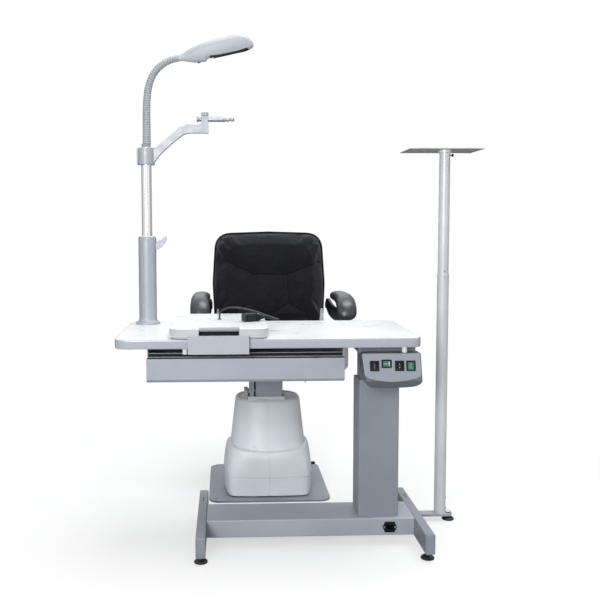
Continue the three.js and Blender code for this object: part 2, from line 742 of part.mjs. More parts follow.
function makeShelfScrew() {
  const outer = stand.upperR + GAP;
  const shank = [[0, outer], [2.5, outer], [2.5, outer + 5]];
  const knob = [[5.5, outer + 6], [5.5, outer + 12], [0, outer + 12]];
  const screw = turned([...shank, ...knob], SMALL_ROUND).rotateY(Math.PI / 2);
  return part('shelf_screw', screw.translate(0, 0, standTube.upperTop - 20), blackPlastic());
}

// ---- patient chair ----

function makeBasePlate() {
  const { size, thick, corner, holeR, holeInset } = plate;
  const slab = roundedPost(size, size, corner, 0, thick, 6);
  const at = size / 2 - holeInset;
  const corners = [[-at, -at], [at, -at], [at, at], [-at, at]];
  const holes = corners.map(([x, y]) => cylinder(holeR, -1, thick + 1, 10).translate(x, y, 0));
  return part('chair_base_plate', cut(slab, ...holes), paint());
}

function makeChairMast() {
  const width = chairColumn.width - 2 * chairColumn.wall - 6;
  const depth = chairColumn.depth - 2 * chairColumn.wall - 6;
  const shell = block(-width / 2, width / 2, -depth / 2, depth / 2, plate.thick + GAP, 400);
  const hollow = block(3 - width / 2, width / 2 - 3, 3 - depth / 2, depth / 2 - 3, 0, 401);
  return part('chair_mast', cut(shell, hollow).translate(chairColumn.x, chairColumn.y, 0), steel());
}

function makeChairColumn() {
  const { x, y, width, depth, bottom, top, wall } = chairColumn;
  const shell = roundedPost(width, depth, 4, bottom, top, 2);
  const halfX = width / 2 - wall;
  const halfY = depth / 2 - wall;
  const hollow = block(-halfX, halfX, -halfY, halfY, bottom - 1, top - 4);
  const flange = block(-82, 64, -80, 80, top - 4, top + 6);
  const guide = block(-81, -63.5, -72, 60, bottom + 200, top);
  const web = block(-64, -56, 30, 40, bottom + 200, top);
  return part('chair_column', join(cut(shell, hollow), flange, guide, web).translate(x, y, 0), paint());
}

function upperCoverShape(grow, bottom, top) {
  const ring = (halfX, halfY, z) => levelRing(32, halfX + grow, halfY + grow, 2.7, upperCover.y, () => z);
  const { bottom: z0, top: z1 } = upperCover;
  const stretch = grow > 0 ? [ring(161, 152, z0 - 20)] : [];
  const rim = [ring(138, 113, z1 - 13), ring(135, 110, z1 - 5), ring(128, 103, z1)];
  const low = ring(161, 152, bottom ?? z0);
  return loft([...stretch, low, ...(top === undefined ? rim : [ring(136, 111, top)])]);
}

function makeUpperCover() {
  const { wall, bottom, top } = upperCover;
  const inside = upperCoverShape(-wall, bottom - 1, top - wall - 4);
  const opening = block(-84, 66, chairColumn.y - 80, chairColumn.y + 80, top - 30, top + 5);
  return part('chair_upper_cover', cut(upperCoverShape(0), inside, opening), coverPlastic());
}

function lowerCoverShape(inset, bottom, drop) {
  const { y, stepZ, frontTop, sideTop } = lowerCover;
  const flat = (z) => () => z - drop;
  const saddle = (angle) => frontTop + (sideTop - frontTop) * Math.abs(Math.cos(angle)) ** 1.5 - drop;
  const ring = (halfX, halfY, heightAt) => levelRing(36, halfX - inset, halfY - inset, 5.5, y, heightAt);
  return loft([
    ring(187, 200, () => bottom),
    ring(186, 202, flat(stepZ - 1.5)),
    ring(188, 204, flat(stepZ + 1.5)),
    ring(180, 203, flat(frontTop - 25)),
    ring(165, 196, saddle),
  ]);
}

function makeLowerCover() {
  const { bottom, wall } = lowerCover;
  const inside = lowerCoverShape(wall, bottom - 1, wall);
  const pedalSlot = block(150, 200, 40, 80, 50, 84);
  const tools = [inside, upperCoverShape(0.6), pedalSlot];
  return part('chair_lower_cover', cut(lowerCoverShape(0, bottom, 0), ...tools), coverPlastic());
}

function makeSeatPan() {
  const { panBottom, cushionBottom, back: rear } = seat;
  const hub = cylinder(62, chairColumn.top + 6 + GAP, panBottom + 2, 32);
  const disc = hub.translate(-seat.x, chairColumn.y, 0);
  const pan = roundedPost(400, 370, 30, panBottom, cushionBottom - GAP, 4).translate(0, -20, 0);
  const tail = block(-35, 35, 150, rear + 78, panBottom, panBottom + 8);
  const blade = [[rear + 70, panBottom], [rear + 78, panBottom], [rear + 112, 900], [rear + 104, 900]];
  return part('seat_pan', join(disc, pan, tail, alongX(blade, -35, 35)), steel());
}

function makeSeatCushion() {
  const { width, front, back: rear, cushionBottom, top } = seat;
  const middle = (front + rear) / 2;
  const half = (rear - front) / 2;
  const ring = (inset, z) => levelRing(28, width / 2 - inset, half - inset, 4.5, middle, () => z);
  const high = top - cushionBottom;
  return part('seat_cushion', loft([
    ring(8, cushionBottom),
    ring(0, cushionBottom + high * 0.2),
    ring(0, cushionBottom + high * 0.7),
    ring(10, cushionBottom + high * 0.93),
    ring(30, top),
  ]), fabric());
}

function makeBackrest() {
  const { width, height, thick, bottom, y, tilt } = back;
  const shape = new THREE.Shape();
  const low = width / 2 - 10;
  const wide = width / 2;
  shape.moveTo(-low + 40, 0);
  shape.lineTo(low - 40, 0);
  shape.quadraticCurveTo(low, 0, low + 3, 45);
  shape.lineTo(wide, height * 0.6);
  shape.lineTo(wide - 14, height - 75);
  shape.quadraticCurveTo(wide - 22, height, wide - 90, height);
  shape.lineTo(90 - wide, height);
  shape.quadraticCurveTo(22 - wide, height, 14 - wide, height - 75);
  shape.lineTo(-wide, height * 0.6);
  shape.lineTo(-low - 3, 45);
  shape.quadraticCurveTo(-low, 0, -low + 40, 0);
  const pad = alongY(shape, 0, thick, 8);
  return part('backrest', pad.rotateX(tilt).translate(0, y, bottom), fabric());
}

// The armrest pad's line from its drooping front end to its back end: Y, Z and the share of the full section.
const padLine = [
  [-192, 745, 0.75],
  [-186, 767, 1],
  [-168, 791, 1],
  [-130, 810, 1],
  [-60, 817, 1],
  [70, 817, 1],
  [100, 815, 0.8],
];

function makeArmPad(side) {
  const across = new THREE.Vector3(1, 0, 0);
  const rings = padLine.map(([y, z, size], i) => {
    const before = padLine[Math.max(i - 1, 0)];
    const after = padLine[Math.min(i + 1, padLine.length - 1)];
    const along = new THREE.Vector3(0, after[0] - before[0], after[1] - before[1]).normalize();
    const up = new THREE.Vector3().crossVectors(across, along);
    const centre = new THREE.Vector3(side * armrest.x, y, z);
    const halfSide = (armrest.width / 2) * size;
    return ringAcross(centre, across, up, halfSide, (armrest.thick / 2) * size, 14, 2.5);
  });
  return loft(rings.reverse());
}

function makeArmrest(name, side) {
  const { hingeY, hingeZ } = armrest;
  const edge = back.width / 2;
  const outline = [
    [hingeY - 112, 802],
    [hingeY - 52, 748],
    [hingeY, 738],
    [hingeY + 18, 768],
    [hingeY + 4, 798],
    [hingeY - 72, 818],
  ];
  const link = side < 0 ? alongX(outline, -edge - 30, -edge - 8) : alongX(outline, edge + 8, edge + 30);
  const pin = cylinder(7, 0, 34, SMALL_ROUND).rotateY((side * Math.PI) / 2);
  pin.translate(side * (edge + 3), hingeY, hingeZ);
  return part(name, join(makeArmPad(side), link, pin), leather());
}

function makePedal() {
  const { x, y, z, reach, padR } = pedal;
  const lever = block(x, x + reach, y - 5, y + 5, z - 3, z + 3);
  const pad = new THREE.SphereGeometry(padR, 12, 6).scale(1, 1, 0.55);
  return part('chair_pedal', join(lever, pad.translate(x + reach + 7, y, z)), blackPlastic());
}

function makeHeightLever() {
  const { x, y, z, reach } = heightLever;
  const stem = block(x - reach + 1, x, y - 6, y + 6, z - 2, z + 2);
  const grip = new THREE.SphereGeometry(8, 10, 6).scale(1.2, 1, 0.6);
  return part('chair_lever', join(stem, grip.translate(x - reach, y, z)), steel());
}

// ---- assembly ----

const footY = footBar.length / 2 - levelling.fromEnd;
const footStudTop = 44;

const tableBase = groupAt(
  table.x, table.y, 0,
  makeFootBar(-1),
  makeFootBar(1),
  makeCrossBeam(),
  makeLevellingFoot('levelling_foot_front_left', -footBar.x, -footY, footStudTop),
  makeLevellingFoot('levelling_foot_front_right', footBar.x, -footY, footStudTop),
  makeLevellingFoot('levelling_foot_rear_left', -footBar.x, footY, footStudTop),
  makeLevellingFoot('levelling_foot_rear_right', footBar.x, footY, footStudTop),
  makePowerInlet(),
  makeColumnSleeve(),
  makeActuatorBody(),
);

const risingTable = groupAt(
  table.x, table.y, 0,
  makeInnerColumn(),
  makeActuatorRod(),
  makeColumnHead(),
  makeTabletop(),
  makeEdgeBand(),
  makeDrawerCabinet(),
  makeFrontRail(),
  makeDrawerFront(),
  makeDrawerTray(),
  makeBumper('bumper_left', bumper.left),
  makeBumper('bumper_right', bumper.right),
  makeCarriage(),
  makeInstrumentBoard(),
  makeBoardLatch(),
  makeInstrumentCord(),
  makeControlBox(),
  makeFascia(),
  ...switches.map(makeRocker),
);

const poleAndLamp = groupAt(
  table.x + pole.x, table.y + pole.y, 0,
  makePoleSleeve(),
  makePoleTube(),
  makeClampLever(),
  makeRefractorArm(),
  makeArmCap(),
  makeHolderRod(),
  makeNeckLower(),
  makeNeckUpper(),
  makeLampShell(),
  makeLampLens(),
  makeLampSwitch(),
);

const projectorStand = groupAt(
  table.x + stand.x, table.y + stand.y, 0,
  makeOutrigger(),
  makeLevellingFoot('stand_levelling_foot', 32, 0, stand.barTop + 5),
  makeStandLowerTube(),
  makeStandUpperTube(),
  makeShelf(),
  makeShelfScrew(),
);

const chair = groupAt(
  0, 0, 0,
  makeBasePlate(),
  makeChairMast(),
  makeChairColumn(),
  makeLowerCover(),
  makeUpperCover(),
  makePedal(),
  makeHeightLever(),
);

const chairSeat = groupAt(
  seat.x, 0, 0,
  makeSeatPan(),
  makeSeatCushion(),
  makeBackrest(),
  makeArmrest('armrest_left', -1),
  makeArmrest('armrest_right', 1),
);

const unit = new THREE.Group();
unit.add(tableBase, risingTable, poleAndLamp, projectorStand, chair, chairSeat);

export default unit;
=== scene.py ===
import json
import math

import bmesh
import bpy
from mathutils import Matrix, Vector, noise

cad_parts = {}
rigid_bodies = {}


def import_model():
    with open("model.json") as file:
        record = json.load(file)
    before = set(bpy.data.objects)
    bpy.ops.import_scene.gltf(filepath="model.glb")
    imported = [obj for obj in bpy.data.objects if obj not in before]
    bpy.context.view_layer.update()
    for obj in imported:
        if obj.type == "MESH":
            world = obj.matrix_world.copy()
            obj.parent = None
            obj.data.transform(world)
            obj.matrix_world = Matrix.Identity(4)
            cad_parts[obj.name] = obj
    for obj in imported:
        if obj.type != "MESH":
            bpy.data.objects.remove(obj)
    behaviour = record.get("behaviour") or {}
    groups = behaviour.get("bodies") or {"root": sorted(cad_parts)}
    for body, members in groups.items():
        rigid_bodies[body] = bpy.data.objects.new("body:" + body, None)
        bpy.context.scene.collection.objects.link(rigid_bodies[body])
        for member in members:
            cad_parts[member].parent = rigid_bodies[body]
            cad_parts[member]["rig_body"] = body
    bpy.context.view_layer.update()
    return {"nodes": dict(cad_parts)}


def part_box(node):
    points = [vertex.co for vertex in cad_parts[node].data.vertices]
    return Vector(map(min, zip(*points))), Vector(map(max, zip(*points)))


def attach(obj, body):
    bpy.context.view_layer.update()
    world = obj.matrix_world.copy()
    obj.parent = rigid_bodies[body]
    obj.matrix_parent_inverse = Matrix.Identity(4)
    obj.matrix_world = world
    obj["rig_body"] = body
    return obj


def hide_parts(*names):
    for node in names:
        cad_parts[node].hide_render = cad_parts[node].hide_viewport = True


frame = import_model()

UP = Vector((0, 0, 1))
FORWARD = Vector((0, -1, 0))
RIGHT = Vector((1, 0, 0))
MM = 0.001
TABLE = Vector((0.118, -0.612, 0.0))


# ---- finishes: node materials in object coordinates, which are the row frame's metres ----


class Finish:
    def __init__(self, name):
        self.material = bpy.data.materials.new(name)
        self.material.use_nodes = True
        tree = self.material.node_tree
        tree.nodes.clear()
        self.nodes, self.links = tree.nodes, tree.links
        self.surface = self.nodes.new("ShaderNodeBsdfPrincipled")
        output = self.nodes.new("ShaderNodeOutputMaterial")
        self.links.new(self.surface.outputs["BSDF"], output.inputs["Surface"])
        coordinates = self.nodes.new("ShaderNodeTexCoord")
        self.place = coordinates.outputs["Object"]
        self.facing = coordinates.outputs["Normal"]

    def node(self, kind, **settings):
        made = self.nodes.new(kind)
        for key, value in settings.items():
            setattr(made, key, value)
        return made

    def feed(self, node, **sockets):
        for key, value in sockets.items():
            numbered = key[0] == "i" and key[1:].isdigit()
            socket = node.inputs[int(key[1:]) if numbered else key.replace("_", " ")]
            if isinstance(value, bpy.types.NodeSocket):
                self.links.new(value, socket)
            else:
                socket.default_value = value
        return node

    def stretched(self, stretch):
        mapping = self.feed(self.node("ShaderNodeMapping"), Vector=self.place, Scale=stretch)
        return mapping.outputs["Vector"]

    def noise(self, scale, detail=3.0, stretch=(1, 1, 1), distortion=0.0):
        made = self.node("ShaderNodeTexNoise")
        self.feed(made, Vector=self.stretched(stretch), Scale=scale, Detail=detail, Distortion=distortion)
        return made.outputs["Fac"]

    def cells(self, scale, feature="F1", stretch=(1, 1, 1)):
        made = self.node("ShaderNodeTexVoronoi", feature=feature)
        self.feed(made, Vector=self.stretched(stretch), Scale=scale)
        return made.outputs["Distance"]

    def maths(self, operation, a, b=0.0, clamp=False):
        made = self.node("ShaderNodeMath", operation=operation, use_clamp=clamp)
        return self.feed(made, i0=a, i1=b).outputs[0]

    def remap(self, value, low, high, start=0.0, end=1.0):
        made = self.node("ShaderNodeMapRange")
        self.feed(made, i0=value, i1=start, i2=end, i3=low, i4=high)
        return made.outputs[0]

    def tint(self, colour, *factors):
        shade = None
        for factor in factors:
            shade = factor if shade is None else self.maths("MULTIPLY", shade, factor)
        made = self.node("ShaderNodeVectorMath", operation="SCALE")
        self.feed(made, i0=colour, Scale=shade)
        return made.outputs[0]

    def mix(self, factor, a, b):
        made = self.node("ShaderNodeMix", data_type="RGBA")
        made.inputs[0].default_value = 0.5
        self.feed(made, i0=factor, i6=a, i7=b)
        return made.outputs[2]

    def edge(self, radius):
        rounded = self.node("ShaderNodeBevel", samples=4)
        rounded.inputs["Radius"].default_value = radius
        flat = self.node("ShaderNodeNewGeometry")
        dot = self.node("ShaderNodeVectorMath", operation="DOT_PRODUCT")
        self.feed(dot, i0=rounded.outputs["Normal"], i1=flat.outputs["Normal"])
        return self.remap(dot.outputs["Value"], 1.0, 0.0, 0.82, 0.995)

    def bump(self, height, distance, under=None):
        made = self.node("ShaderNodeBump")
        made.inputs["Strength"].default_value = 1.0
        self.feed(made, Distance=distance, Height=height)
        if under is not None:
            self.feed(made, Normal=under)
        return made.outputs["Normal"]

    def split(self, vector):
        return self.feed(self.node("ShaderNodeSeparateXYZ"), Vector=vector).outputs

    def set(self, **sockets):
        self.feed(self.surface, **sockets)
        return self.material


def rgb(colour):
    return (*colour, 1.0)


def painted(name, colour, metallic=0.2, low=0.34, high=0.46, edge_wear_and_highlight=0.35):
    """Powder coat: pebbled skin, faint clouding, and lighter edges, both thin worn coat and painted highlight.
    """
    f = Finish(name)
    cloud = f.remap(f.noise(5.0, 4.0), 0.93, 1.06, 0.3, 0.7)
    fleck = f.remap(f.noise(2200.0, 1.0), 0.93, 1.07, 0.3, 0.7)
    base = f.tint(colour, cloud, fleck)
    # Lighter rounded edges: partly wear of the coat, partly a painted highlight where the edges catch light.
    worn_and_highlit_edges = f.maths("MULTIPLY", f.edge(0.0012), f.remap(f.noise(60.0, 3.0), 0.0, edge_wear_and_highlight, 0.35, 0.7))
    light = tuple(min(1.0, c * 1.7 + 0.05) for c in colour)
    pebble = f.bump(f.noise(1500.0, 2.0), 0.00005)
    wave = f.bump(f.noise(220.0, 1.0), 0.00006, pebble)
    rough = f.remap(f.noise(40.0, 3.0), low, high, 0.3, 0.7)
    return f.set(Base_Color=f.mix(worn_and_highlit_edges, base, rgb(light)), Metallic=metallic, Roughness=rough, Normal=wave)


def moulded(name, colour, low=0.3, high=0.45, grain=900.0, depth=0.00004, coat=0.0, shine=0.5):
    """Injection-moulded plastic: spark-eroded grain, slight mottling, and lighter edges, both rubbed by
    handling and painted sheen.
    """
    f = Finish(name)
    mottle = f.remap(f.noise(9.0, 5.0), 0.955, 1.04, 0.3, 0.7)
    fine = f.remap(f.noise(600.0, 2.0), 0.97, 1.03, 0.3, 0.7)
    skin = f.bump(f.cells(grain), depth)
    skin = f.bump(f.noise(35.0, 2.0), 0.0002, skin)
    # Lighter rounded edges: partly rubbing wear, partly a painted sheen where the edges catch light.
    rubbed_and_sheen_edges = f.maths("MULTIPLY", f.edge(0.0015), 0.5)
    light = tuple(min(1.0, c * 1.25 + 0.006) for c in colour)
    rough = f.remap(f.noise(30.0, 4.0), low, high, 0.3, 0.7)
    tone = f.mix(rubbed_and_sheen_edges, f.tint(colour, mottle, fine), rgb(light))
    return f.set(Base_Color=tone, Roughness=rough, Normal=skin, Coat_Weight=coat, Specular_IOR_Level=shine)


def laminated(name, colour):
    """High-pressure laminate: near white, with a faint cloudy print and a shallow pearl texture."""
    f = Finish(name)
    print_ = f.remap(f.noise(28.0, 6.0, distortion=1.2), 0.975, 1.015, 0.3, 0.7)
    speck = f.remap(f.noise(900.0, 1.0), 0.985, 1.01, 0.35, 0.65)
    pearl = f.bump(f.cells(700.0, "SMOOTH_F1"), 0.000004)
    rough = f.remap(f.noise(14.0, 4.0), 0.26, 0.36, 0.3, 0.7)
    return f.set(Base_Color=f.tint(colour, print_, speck), Roughness=rough, Normal=pearl)


def chromed(name):
    """Plated tube: bright, with hairline drawing marks along it and a few dull patches."""
    f = Finish(name)
    hair = f.noise(500.0, 2.0, (1.0, 1.0, 0.01))
    patch = f.noise(12.0, 4.0)
    rough = f.maths("ADD", f.remap(hair, 0.02, 0.09, 0.35, 0.7), f.remap(patch, 0.0, 0.05, 0.45, 0.75))
    base = f.tint((0.86, 0.86, 0.87), f.remap(patch, 0.96, 1.02, 0.3, 0.7))
    return f.set(Base_Color=base, Metallic=1.0, Roughness=rough, Normal=f.bump(hair, 0.00001))


def machined(name, colour, low=0.24, high=0.42):
    """Turned or milled steel: fine tool marks and slightly darker hollows."""
    f = Finish(name)
    marks = f.noise(1500.0, 2.0, (1.0, 1.0, 0.12))
    stain = f.noise(45.0, 5.0)
    base = f.tint(colour, f.remap(marks, 0.9, 1.08, 0.3, 0.7), f.remap(stain, 0.9, 1.05, 0.3, 0.7))
    rough = f.remap(stain, low, high, 0.3, 0.7)
    return f.set(Base_Color=base, Metallic=0.95, Roughness=rough, Normal=f.bump(marks, 0.00002))


def rubbered(name):
    """Moulded rubber: nearly black, a matt bloom on the high spots and fine pitting."""
    f = Finish(name)
    bloom = f.noise(70.0, 5.0)
    base = f.mix(f.remap(bloom, 0.0, 0.6, 0.5, 0.8), rgb((0.009, 0.009, 0.011)), rgb((0.03, 0.031, 0.034)))
    rough = f.remap(bloom, 0.3, 0.6, 0.3, 0.7)
    return f.set(Base_Color=base, Roughness=rough, Normal=f.bump(f.cells(1600.0), 0.00004))


def lit_green(name):
    """Tinted rocker cap with a lamp behind it: brighter in the middle, with a faceted inner face."""
    f = Finish(name)
    facets = f.cells(420.0)
    glow = f.remap(facets, 1.0, 0.35, 0.0, 0.7)
    base = f.tint((0.07, 0.24, 0.16), glow)
    f.set(Base_Color=base, Roughness=f.remap(facets, 0.16, 0.3), Normal=f.bump(facets, 0.00006))
    return f.set(Emission_Color=f.tint((0.12, 0.55, 0.36), glow), Emission_Strength=0.22)


def frosted(name):
    """Opal diffuser: white with a soft gloss and a moulded prism grain."""
    f = Finish(name)
    grain = f.cells(900.0)
    base = f.tint((0.86, 0.88, 0.9), f.remap(f.noise(20.0, 3.0), 0.95, 1.03, 0.3, 0.7))
    f.set(Base_Color=base, Roughness=f.remap(grain, 0.25, 0.45), Normal=f.bump(grain, 0.00005))
    return f.set(Subsurface_Weight=0.3, Subsurface_Scale=0.004)


def woven(name, colour, light, pitch=0.0019):
    """Plain-woven upholstery: crossing yarns on each face, heathered along the weft, with a soft nap."""
    f = Finish(name)
    x, y, z = f.split(f.place)
    nx, ny, nz = (f.maths("POWER", f.maths("ABSOLUTE", n), 4.0) for n in f.split(f.facing))
    waves = [f.maths("SINE", f.maths("MULTIPLY", axis, 2 * math.pi / pitch)) for axis in (x, y, z)]
    yarn = None
    for weight, a, b in ((nx, 1, 2), (ny, 0, 2), (nz, 0, 1)):
        cross = f.maths("MULTIPLY", f.maths("MULTIPLY", waves[a], waves[b]), weight)
        yarn = cross if yarn is None else f.maths("ADD", yarn, cross)
    yarn = f.remap(yarn, 0.0, 1.0, -1.0, 1.0)
    heather = f.noise(420.0, 3.0, (0.16, 1.0, 1.0))
    cloud = f.noise(14.0, 4.0)
    mixing = f.maths("MULTIPLY", f.remap(heather, 0.0, 1.0, 0.35, 0.75), f.remap(yarn, 0.45, 1.0), clamp=True)
    tone = f.mix(mixing, rgb(colour), rgb(light))
    tone = f.feed(
        f.node("ShaderNodeVectorMath", operation="SCALE"), i0=tone, Scale=f.remap(cloud, 0.8, 1.2, 0.3, 0.7),
    )
    bump = f.bump(yarn, 0.0003)
    bump = f.bump(heather, 0.0004, bump)
    f.set(Base_Color=tone.outputs[0], Roughness=0.92, Normal=bump, Sheen_Weight=0.25, Sheen_Roughness=0.5)
    return f.set(Sheen_Tint=(0.5, 0.5, 0.62, 1.0), Specular_IOR_Level=0.25)


def leathered(name, colour):
    """Skinned foam with a leather grain: pores, drawn creases and a soft waxy sheen."""
    f = Finish(name)
    pores = f.cells(520.0, "SMOOTH_F1")
    creases = f.noise(60.0, 6.0, (1.0, 0.35, 1.0), 0.6)
    base = f.tint(colour, f.remap(creases, 0.7, 1.3, 0.3, 0.7), f.remap(pores, 1.1, 0.85, 0.0, 0.6))
    bump = f.bump(pores, 0.00018)
    bump = f.bump(creases, 0.0006, bump)
    rough = f.remap(creases, 0.26, 0.4, 0.3, 0.7)
    return f.set(Base_Color=base, Roughness=rough, Normal=bump, Coat_Weight=0.25, Coat_Roughness=0.35)


FINISHES = {
    "paint": painted("Paint", (0.40, 0.43, 0.485), 0.12),
    # A darker copy of the body paint: painted shade on the base bars, column and chair base, which stand in
    # shade, and a darker grey on small fittings.
    "dark_paint_and_painted_shade": painted("DarkPaintAndPaintedShade", (0.28, 0.305, 0.35), 0.14),
    # A still darker copy of the body paint: painted shade for the control box, whose sides stand in shade.
    "paint_with_deep_painted_shade": painted("PaintWithDeepPaintedShade", (0.17, 0.18, 0.20), 0.14),
    "pale_paint": painted("PalePaint", (0.43, 0.45, 0.485), 0.1, 0.36, 0.48),
    "stand_paint": painted("StandPaint", (0.66, 0.68, 0.695), 0.08, 0.3, 0.42),
    "shelf_paint": painted("ShelfPaint", (0.40, 0.385, 0.375), 0.2),
    "laminate": laminated("Laminate", (0.86, 0.885, 0.89)),
    "board_edge": moulded("BoardEdge", (0.56, 0.575, 0.595), 0.3, 0.42),
    "edge_plastic": moulded("EdgePlastic", (0.44, 0.46, 0.51), 0.2, 0.3, 1400.0, 0.00002, 0.25),
    "cover_plastic": moulded("CoverPlastic", (0.76, 0.80, 0.83), 0.34, 0.46),
    "lamp_plastic": moulded("LampPlastic", (0.52, 0.545, 0.585), 0.36, 0.48),
    "neck_plastic": moulded("NeckPlastic", (0.40, 0.415, 0.45), 0.3, 0.42),
    "white_plastic": moulded("WhitePlastic", (0.76, 0.77, 0.78), 0.3, 0.4),
    "black_plastic": moulded("BlackPlastic", (0.006, 0.006, 0.008), 0.32, 0.46, 1300.0, 0.00003, shine=0.22),
    "green_lens": lit_green("GreenLens"),
    "chrome": chromed("Chrome"),
    "steel": machined("Steel", (0.42, 0.43, 0.45)),
    "rubber": rubbered("Rubber"),
    "fabric": woven("Fabric", (0.0045, 0.0047, 0.0068), (0.014, 0.0145, 0.020)),
    "leather": leathered("Leather", (0.026, 0.031, 0.035)),
    "diffuser": frosted("Diffuser"),
    "mark": moulded("Mark", (0.42, 0.43, 0.45), 0.4, 0.5),
}


# ---- mesh tools ----


def piece(name, shape, body, finish, smooth=38.0, weighted=True):
    """Makes a shown piece of a bmesh, gives it its finish and lets it ride on a body."""
    bmesh.ops.recalc_face_normals(shape, faces=shape.faces)
    mesh = bpy.data.meshes.new(name)
    shape.to_mesh(mesh)
    shape.free()
    mesh.materials.append(FINISHES[finish])
    mesh.shade_smooth()
    mesh.set_sharp_from_angle(angle=math.radians(smooth))
    made = bpy.data.objects.new(name, mesh)
    bpy.context.scene.collection.objects.link(made)
    if weighted:
        made.modifiers.new("weighted", "WEIGHTED_NORMAL").keep_sharp = True
    if body is not None:
        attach(made, body)
    return made


def soften(shape, width, segments=2, angle=32.0):
    """Rounds every edge sharper than the angle."""
    bmesh.ops.recalc_face_normals(shape, faces=shape.faces)
    limit = math.radians(angle)
    sharp = [e for e in shape.edges if len(e.link_faces) == 2 and e.calc_face_angle(0.0) > limit]
    if sharp and width > 0:
        bmesh.ops.bevel(
            shape, geom=sharp, offset=width, offset_type="OFFSET", segments=segments,
            profile=0.5, affect="EDGES", clamp_overlap=True,
        )
    return shape


def fillet(points, radius=0.0, closed=True, steps=4):
    """Rounds the corners of a 2-D line. A point's third number is its own radius."""
    rounded = []
    count = len(points)
    for i, point in enumerate(points):
        reach = point[2] if len(point) > 2 else radius
        here = Vector(point[:2])
        if reach <= 0 or (not closed and i in (0, count - 1)):
            rounded.append(here)
            continue
        back = Vector(points[i - 1][:2]) - here
        ahead = Vector(points[(i + 1) % count][:2]) - here
        turn = back.angle(ahead, math.pi)
        if turn > math.radians(174):
            rounded.append(here)
            continue
        reach = min(reach / math.tan(turn / 2), 0.47 * back.length, 0.47 * ahead.length)
        first, last = here + back.normalized() * reach, here + ahead.normalized() * reach
        for s in range(steps + 1):
            t = s / steps
            rounded.append(first * (1 - t) ** 2 + here * 2 * t * (1 - t) + last * t * t)
    return rounded


def skin(rings, closed=False, caps=True):
    """Skins rings of equal length. A ring of one point is a pole."""
    shape = bmesh.new()
    rows = [[shape.verts.new(p) for p in ring] for ring in rings]
    pairs = list(zip(rows, rows[1:]))
    if closed:
        pairs.append((rows[-1], rows[0]))
    for a, b in pairs:
        sides = max(len(a), len(b))
        for i in range(sides):
            j = (i + 1) % sides
            loop = [a[i % len(a)], a[j % len(a)], b[j % len(b)], b[i % len(b)]]
            unique = list(dict.fromkeys(loop))
            if len(unique) > 2:
                shape.faces.new(unique)
    if caps and not closed:
        for row in (rows[0], rows[-1]):
            if len(row) > 2:
                shape.faces.new(row)
    bmesh.ops.recalc_face_normals(shape, faces=shape.faces)
    return shape


def lathe_shape(profile, at, axis=UP, steps=64, rounding=0.0006, closed=False, knurl=0, depth=0.0):
    """Turns [radius, height] points about an axis through a point. Points further out than knurl are fluted."""
    turn = UP.rotation_difference(Vector(axis))
    rings = []
    for r, h in fillet(profile, rounding, closed):
        if r < 1e-6:
            rings.append([Vector(at) + turn @ Vector((0, 0, h))])
            continue
        ring = []
        for i in range(steps):
            angle = 2 * math.pi * i / steps
            reach = r * (1 - depth * (i % 2)) if knurl and r >= knurl else r
            ring.append(Vector(at) + turn @ Vector((reach * math.cos(angle), reach * math.sin(angle), h)))
        rings.append(ring)
    return skin(rings, closed, caps=False)


def lathe(name, body, finish, profile, at, axis=UP, **settings):
    return piece(name, lathe_shape(profile, at, axis, **settings), body, finish)


PLANES = {
    "XY": lambda u, v, w: Vector((u, v, w)),
    "XZ": lambda u, v, w: Vector((u, w, v)),
    "YZ": lambda u, v, w: Vector((w, u, v)),
}


def prism_shape(outline, low, high, plane="XY", edge=0.0008, rounding=0.0, place=None, segments=2):
    """Extrudes a 2-D outline across its plane from low to high, and rounds its rim."""
    to3d = PLANES[plane]
    line = fillet(outline, rounding)
    shape = skin([[to3d(p.x, p.y, w) for p in line] for w in (low, high)])
    soften(shape, edge, segments)
    if place is not None:
        shape.transform(place)
    return shape


def prism(name, body, finish, outline, low, high, **settings):
    return piece(name, prism_shape(outline, low, high, **settings), body, finish)


def box_outline(x0, x1, y0, y1):
    return [(x0, y0), (x1, y0), (x1, y1), (x0, y1)]


def ring_shape(outer, inner, low, high, plane="XY", edge=0.0005, place=None):
    """A flat frame between two outlines that have the same number of points."""
    to3d = PLANES[plane]
    turns = ((outer, low), (outer, high), (inner, high), (inner, low))
    rows = [[to3d(p[0], p[1], w) for p in line] for line, w in turns]
    shape = soften(skin(rows, closed=True, caps=False), edge)
    if place is not None:
        shape.transform(place)
    return shape


def rounded_box(x0, x1, y0, y1, radius, steps=6):
    corners = box_outline(x0, x1, y0, y1)
    return fillet([(x, y, radius) for x, y in corners], steps=steps)


def carve(base, *tools, operation="DIFFERENCE"):
    """Cuts or joins shapes with Blender's exact boolean, and returns the result."""
    objects = []
    for shape in (base, *tools):
        bmesh.ops.recalc_face_normals(shape, faces=shape.faces)
        mesh = bpy.data.meshes.new("tool")
        shape.to_mesh(mesh)
        shape.free()
        holder = bpy.data.objects.new("tool", mesh)
        bpy.context.scene.collection.objects.link(holder)
        objects.append(holder)
    for holder in objects[1:]:
        modifier = objects[0].modifiers.new("boolean", "BOOLEAN")
        modifier.operation, modifier.solver, modifier.object = operation, "EXACT", holder
    graph = bpy.context.evaluated_depsgraph_get()
    result = bmesh.new()
    result.from_object(objects[0], graph)
    for holder in objects:
        mesh = holder.data
        bpy.data.objects.remove(holder)
        bpy.data.meshes.remove(mesh)
    bmesh.ops.remove_doubles(result, verts=result.verts, dist=1e-6)
    return result


